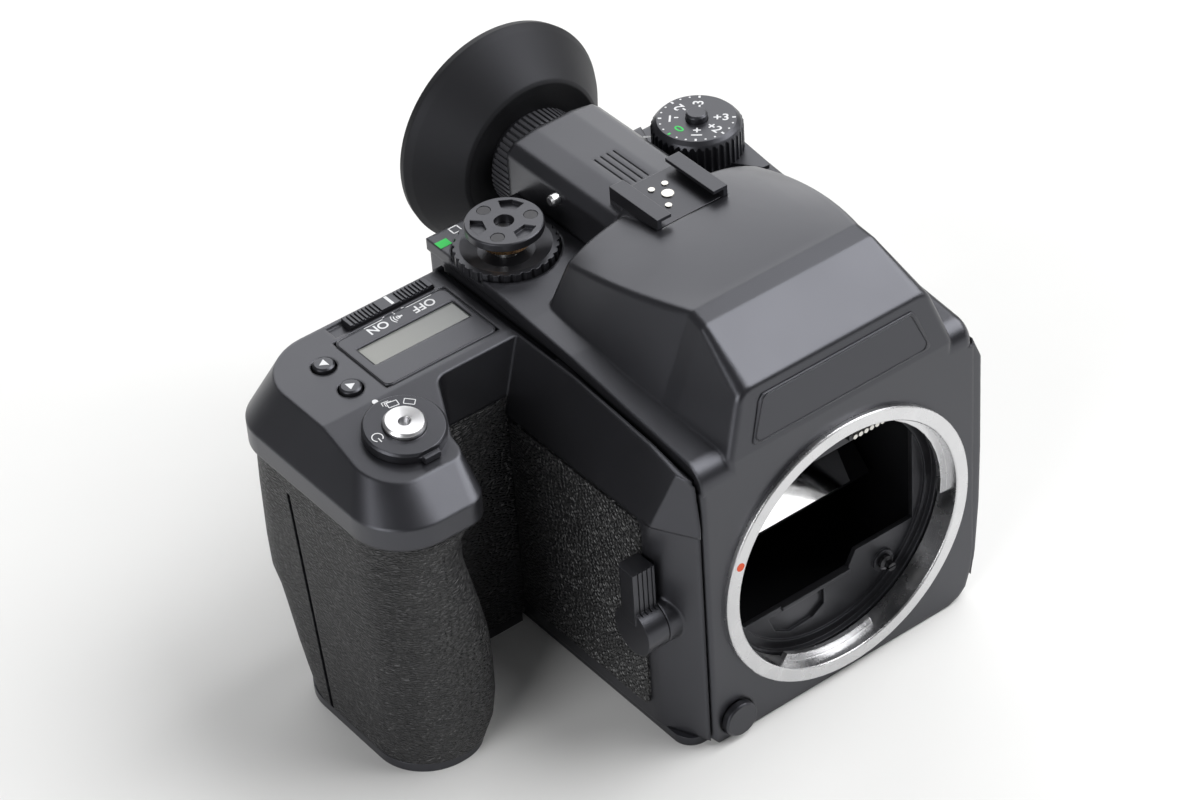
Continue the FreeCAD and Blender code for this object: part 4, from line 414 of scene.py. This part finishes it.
def inkPiece(name, drawing, face, body, finish):
    # prints get a real thickness, so both sides of their thin film are closed
    bmesh.ops.remove_doubles(drawing, verts=drawing.verts, dist=1e-6)
    solid = bmesh.ops.extrude_face_region(drawing, geom=drawing.faces[:])
    down = (face.to_3x3() @ Vector((0, 0, -1))).normalized() * inkThick / 1000
    lowered = [item for item in solid["geom"] if isinstance(item, bmesh.types.BMVert)]
    bmesh.ops.translate(drawing, verts=lowered, vec=down)
    bmesh.ops.recalc_face_normals(drawing, faces=drawing.faces[:])
    mesh = bpy.data.meshes.new(name)
    drawing.to_mesh(mesh)
    drawing.free()
    return finishPiece(name, mesh, body, finish)


# Compensation dial: numbers run outwards, a bar at each number and two dots between
dial = {"right": 29.2, "back": 88.4, "first": 46.5, "step": 45.7, "numberRadius": 6.0, "numberHigh": 2.6,
        "barInner": 8.7, "barOuter": 9.6, "barWide": 0.55, "dotsAt": 9.2, "dotRadius": 0.27}
dialNumbers = ("-3", "-2", "-1", "0", "+1", "+2", "+3")
dialFace = surfaceAt((dial["right"], dial["back"], topOf("compensation_dial")), (1, 0, 0), (0, 1, 0))
whiteMarks, greenMarks = bmesh.new(), bmesh.new()
for i, words in enumerate(dialNumbers):
    ink = greenMarks if words == "0" else whiteMarks
    turn = math.radians(dial["first"] + dial["step"] * i)
    outward = Vector((math.cos(turn), math.sin(turn)))
    drawText(ink, dialFace, words, dial["numberHigh"], outward * dial["numberRadius"], turn)
    drawBar(ink, dialFace, outward * dial["barInner"], outward * dial["barOuter"], dial["barWide"])
    if words == dialNumbers[-1]:
        continue
    for third in (1, 2):
        turn = math.radians(dial["first"] + dial["step"] * (i + third / 3))
        drawDot(whiteMarks, dialFace, roundPoint((0, 0), dial["dotsAt"], turn), dial["dotRadius"])
inkPiece("dial_numbers", whiteMarks, dialFace, "comp_dial", "white")
inkPiece("dial_zero", greenMarks, dialFace, "comp_dial", "green")

# Marks on the rear shoulders: index bar, green field and white frame beside the shutter dial
def rearwardFace(height):
    # a top read from behind: the first axis runs left, the second to the front
    return surfaceAt((0, 0, height), (-1, 0, 0), (0, -1, 0))


index = {"top": 96.0, "start": (-20.9, -99.6), "end": (-22.5, -98.4), "wide": 0.7}
indexFace = rearwardFace(index["top"])
marks = bmesh.new()
drawBar(marks, indexFace, index["start"], index["end"], index["wide"])
inkPiece("dial_index", marks, indexFace, "camera", "white")

shoulderTop = 93.8
shoulder = rearwardFace(shoulderTop)
greenField = {"right": 38.6, "left": 42.0, "rear": -101.6, "front": -98.9}
marks = bmesh.new()
drawPolygon(marks, shoulder, [(greenField[side], greenField[end]) for side, end in (
    ("right", "rear"), ("left", "rear"), ("left", "front"), ("right", "front"))])
inkPiece("green_field", marks, shoulder, "camera", "green")
whiteFrame = {"middle": (34.8, -102.9), "side": 2.4, "line": 0.35}
marks = bmesh.new()
drawFrame(marks, shoulder, whiteFrame["middle"], whiteFrame["side"], whiteFrame["side"], whiteFrame["line"])
inkPiece("white_frame", marks, shoulder, "camera", "white")

# Display surround: switch words, their brackets and the sound sign, read from behind the camera
capTop = topOf("display_bezel")
capFace = rearwardFace(capTop)
switchWords = {"high": 2.5, "ON": (67.4, -90.4), "OFF": (54.2, -90.1), "bracket": -92.2, "foot": -92.8,
               "line": 0.28, "middle": 61.4, "middleTop": -91.9, "middleLine": 0.35}
marks = bmesh.new()
for word in ("ON", "OFF"):
    drawText(marks, capFace, word, switchWords["high"], switchWords[word])
for far, near, footAt in ((70.2, 65.0, 63.9), (50.4, 57.6, 58.9)):
    bend = (near, switchWords["bracket"])
    drawBar(marks, capFace, (far, switchWords["bracket"]), bend, switchWords["line"])
    drawBar(marks, capFace, bend, (footAt, switchWords["foot"]), switchWords["line"])
drawBar(marks, capFace, (switchWords["middle"], switchWords["middleTop"]),
        (switchWords["middle"], switchWords["foot"]), switchWords["middleLine"])
# The sound sign: a small horn and three waves round its mouth
horn = [(60.3, -90.6), (60.9, -90.6), (61.4, -91.1), (61.4, -89.6), (60.9, -90.1), (60.3, -90.1)]
wave = {"middle": (60.9, -90.35), "line": 0.25, "halfTurn": 38, "steps": 8}
drawPolygon(marks, capFace, horn)
for radius in (0.9, 1.6, 2.3):
    drawArc(marks, capFace, wave["middle"], radius, wave["line"], -wave["halfTurn"], wave["halfTurn"],
            wave["steps"])
inkPiece("switch_words", marks, capFace, "camera", "white")

# Signs on the round buttons, the slider and the drive dial
arrow = [(-0.75, -1.3), (1.25, 0), (-0.75, 1.3)]
buttonsLeft = 85.4
for name, back, sign, body in (("up_sign", 87.0, -1, "up_key"), ("down_sign", 76.0, 1, "down_key")):
    buttonTop = topOf(body.replace("key", "button"))
    face = surfaceAt((-buttonsLeft, back, buttonTop), (sign, 0, 0), (0, sign, 0))
    marks = bmesh.new()
    drawPolygon(marks, face, arrow)
    inkPiece(name, marks, face, body, "white")
slider = {"left": 59.9, "back": 96.2, "halfLong": 1.8, "wide": 0.8}
sliderFace = surfaceAt((-slider["left"], slider["back"], topOf("main_switch")), (-1, 0, 0), (0, -1, 0))
marks = bmesh.new()
drawBar(marks, sliderFace, (0, -slider["halfLong"]), (0, slider["halfLong"]), slider["wide"])
inkPiece("switch_index", marks, sliderFace, "switch", "white")

# The drive dial lies on the falling front of the grip: one frame, a stack of frames and an open timer ring
capFall = math.radians(8)
alongFall = (0, -math.cos(capFall), -math.sin(capFall))
drive = {"spot": (-84.3, 56.02, 88.93), "signsAt": 7.5,
         "frameWide": 2.6, "frameHigh": 1.6, "frameLine": 0.22, "stackStep": 0.75, "stackLong": 1.8,
         "stackHigh": 1.1, "stackLine": 0.2, "stackOut": 0.6, "stepOut": 0.5, "stepAside": 0.8}
driveFace = surfaceAt(drive["spot"], (-1, 0, 0), alongFall)
marks = bmesh.new()
for angle, copies in ((45, 1), (81, 3)):
    out = Vector((-math.cos(math.radians(angle)), -math.sin(math.radians(angle))))
    side = Vector((-out.y, out.x))
    for i in range(copies):
        shift = (i - (copies - 1) / 2) * drive["stackStep"]
        middle = out * (drive["signsAt"] + shift * drive["stepOut"]) + side * shift * drive["stepAside"]
        if i == 0:
            drawFrame(marks, driveFace, middle, drive["frameWide"], drive["frameHigh"], drive["frameLine"],
                      math.atan2(side.y, side.x))
        else:
            corner = middle + side * drive["stackHigh"] + out * drive["stackOut"]
            drawBar(marks, driveFace, corner, corner - side * drive["stackLong"], drive["stackLine"])
            drawBar(marks, driveFace, corner, corner - out * drive["stackHigh"], drive["stackLine"])
timer = {"middle": (7.4, -0.3), "radius": 1.3, "line": 0.26, "from": 125, "to": 415,
         "handFoot": 0.3, "handTop": 1.7}
drawArc(marks, driveFace, timer["middle"], timer["radius"], timer["line"], timer["from"], timer["to"])
handAt, handFrom = timer["middle"]
drawBar(marks, driveFace, (handAt, handFrom + timer["handFoot"]), (handAt, handFrom + timer["handTop"]),
        timer["line"])
inkPiece("drive_signs", marks, driveFace, "drive", "white")
driveIndex = {"left": 84.0, "back": 68.2, "below": 0.13, "radius": 0.75}
driveIndexAt = (-driveIndex["left"], driveIndex["back"], capTop - driveIndex["below"])
slopeFace = surfaceAt(driveIndexAt, (-1, 0, 0), alongFall)
marks = bmesh.new()
drawDot(marks, slopeFace, (0, 0), driveIndex["radius"])
inkPiece("drive_index", marks, slopeFace, "camera", "white")

# Lens index on the mount ring
lensIndex = {"left": 33.3, "high": 53.2, "radius": 1.15}
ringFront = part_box("mount_ring")[0].y * 1000 + socketBack
ringFace = surfaceAt((-lensIndex["left"], ringFront, lensIndex["high"]), (1, 0, 0), (0, 0, 1))
marks = bmesh.new()
drawDot(marks, ringFace, (0, 0), lensIndex["radius"])
inkPiece("lens_index", marks, ringFace, "camera", "orange")
print("prints drawn")


# Raised outlines: a thin rounded bead along a closed path
def roundedPath(corners, radius, steps=6):
    points = []
    count = len(corners)
    for i, corner in enumerate(corners):
        corner = Vector(corner)
        before = (Vector(corners[i - 1]) - corner).normalized()
        after = (Vector(corners[(i + 1) % count]) - corner).normalized()
        half = before.angle(after) / 2
        reach = radius / math.tan(half)
        start = corner + before * reach
        end = corner + after * reach
        middle = corner + (before + after).normalized() * (radius / math.sin(half))
        for k in range(steps + 1):
            step = start.lerp(end, k / steps) - middle
            points.append(middle + step.normalized() * radius)
    return points


def beadPiece(name, body, finish, face, points, width, high):
    bead = bmesh.new()
    rows = []
    profile = [(-0.5, 0.0), (-0.32, 0.8), (0.0, 1.0), (0.32, 0.8), (0.5, 0.0)]
    count = len(points)
    for i, point in enumerate(points):
        along = (points[(i + 1) % count] - points[i - 1]).normalized()
        across = Vector((along.y, -along.x))
        row = []
        for share, rise in profile:
            flat = point + across * share * width
            row.append(bead.verts.new(face @ Vector((flat.x, flat.y, (rise * 1.2 - 0.2) * high))))
        rows.append(row)
    for i, row in enumerate(rows):
        following = rows[(i + 1) % count]
        for k in range(len(profile)):
            after = (k + 1) % len(profile)
            bead.faces.new((row[k], row[after], following[after], following[k]))
    bmesh.ops.recalc_face_normals(bead, faces=bead.faces[:])
    mesh = bpy.data.meshes.new(name)
    bead.to_mesh(mesh)
    bead.free()
    return finishPiece(name, mesh, body, finish, smooth=True)


# The plate narrows upwards and leans back with the finder front
plate = {"lowHalf": 26.6, "highHalf": 22.2, "foot": 0.5, "top": 11.6, "corner": 1.6,
         "wide": 0.5, "high": 0.16}
plateThick = 0.0003
lowPlate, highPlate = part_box("name_plate")
plateLean = math.atan2(highPlate.y - lowPlate.y - plateThick, highPlate.z - lowPlate.z)
plateFoot = (0, lowPlate.y * 1000 + socketBack, lowPlate.z * 1000)
plateFace = surfaceAt(plateFoot, (1, 0, 0), (0, math.sin(plateLean), math.cos(plateLean)))
plateCorners = [(-plate["lowHalf"], plate["foot"]), (plate["lowHalf"], plate["foot"]),
                (plate["highHalf"], plate["top"]), (-plate["highHalf"], plate["top"])]
beadPiece("plate_border", "camera", "cover", plateFace, roundedPath(plateCorners, plate["corner"]),
          plate["wide"], plate["high"])

bezel = {"inset": 0.4, "corner": 1.8, "wide": 0.35, "high": 0.1}
low, high = [corner * 1000 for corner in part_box("display_bezel")]
bezelLeft, bezelRight = low.x + bezel["inset"], high.x - bezel["inset"]
bezelFront, bezelBack = low.y + bezel["inset"], high.y - bezel["inset"]
bezelCorners = [(bezelLeft, bezelFront), (bezelRight, bezelFront), (bezelRight, bezelBack),
                (bezelLeft, bezelBack)]
bezelFace = surfaceAt((0, socketBack, capTop), (1, 0, 0), (0, 1, 0))
beadPiece("bezel_border", "camera", "control", bezelFace, roundedPath(bezelCorners, bezel["corner"]),
          bezel["wide"], bezel["high"])
print("borders drawn")

# Floor, light and camera
studio = {"floorHalf": 4.0, "floorDark": "#e4e4e3", "floorLight": "#e8e8e7", "air": "#f4f5f7",
          "airStrength": 0.14, "aim": (0, 0, 0.05)}


def paperFloor(name, dark, light):
    # the floor is seen as a pale sheet and still takes the shadow
    material, tree, shader, spot = newFinish(name, {"Roughness": 0.8, "Specular IOR Level": 0.15})
    paper = addNode(tree, "ShaderNodeTexNoise", {"Scale": 20.0, "Detail": 3.0}, {"Vector": spot})
    tree.links.new(mixColour(tree, paper.outputs["Fac"], dark, light), shader.inputs["Base Color"])
    return material


floorMesh = bpy.data.meshes.new("floor")
half = studio["floorHalf"]
floorCorners = [(-half, -half, 0), (half, -half, 0), (half, half, 0), (-half, half, 0)]
floorMesh.from_pydata(floorCorners, [], [(0, 1, 2, 3)])
floor = bpy.data.objects.new("floor", floorMesh)
collection.objects.link(floor)
floorMesh.materials.append(paperFloor("paperFloor", studio["floorDark"], studio["floorLight"]))

world = bpy.data.worlds.new("studio")
bpy.context.scene.world = world
world.use_nodes = True
air = world.node_tree.nodes["Background"]
air.inputs["Color"].default_value = hexColour(studio["air"])
air.inputs["Strength"].default_value = studio["airStrength"]


def addLamp(name, radiance, width, spot):
    # an even square softbox of the given brightness, turned to the camera body
    data = bpy.data.lights.new(name, "AREA")
    data.energy = radiance * math.pi * width * width
    data.shape = "SQUARE"
    data.size = width
    lamp = bpy.data.objects.new(name, data)
    collection.objects.link(lamp)
    lamp.location = spot
    lamp.rotation_euler = (Vector(studio["aim"]) - Vector(spot)).to_track_quat("-Z", "Y").to_euler()


# Each softbox stands where the faces seen by the camera mirror it; the small card fills the open mirror
for name, radiance, width, spot in (("overheadBox", 5.4, 1.9, (1.3, -0.4, 1.75)),
                                    ("rearBox", 2.0, 2.8, (1.2, 2.2, 1.3)),
                                    ("leftBox", 4.4, 1.3, (-1.85, -0.4, 0.85)),
                                    ("rightBox", 0.5, 1.2, (2.0, -0.5, 0.6)),
                                    ("mirrorCard", 1.4, 0.45, (0.99, -1.41, 1.44))):
    addLamp(name, radiance, width, spot)

view = {"spot": (-0.45474, -0.58100, 0.66458), "turn": (50.7607, 3.18555, -38.0071), "lens": 118.81,
        "sensor": 36.0}
cameraData = bpy.data.cameras.new("photoCamera")
cameraData.lens = view["lens"]
cameraData.sensor_width = view["sensor"]
camera = bpy.data.objects.new("photoCamera", cameraData)
collection.objects.link(camera)
camera.location = view["spot"]
camera.rotation_euler = [math.radians(a) for a in view["turn"]]
bpy.context.scene.camera = camera
bpy.context.scene.view_settings.view_transform = "Standard"
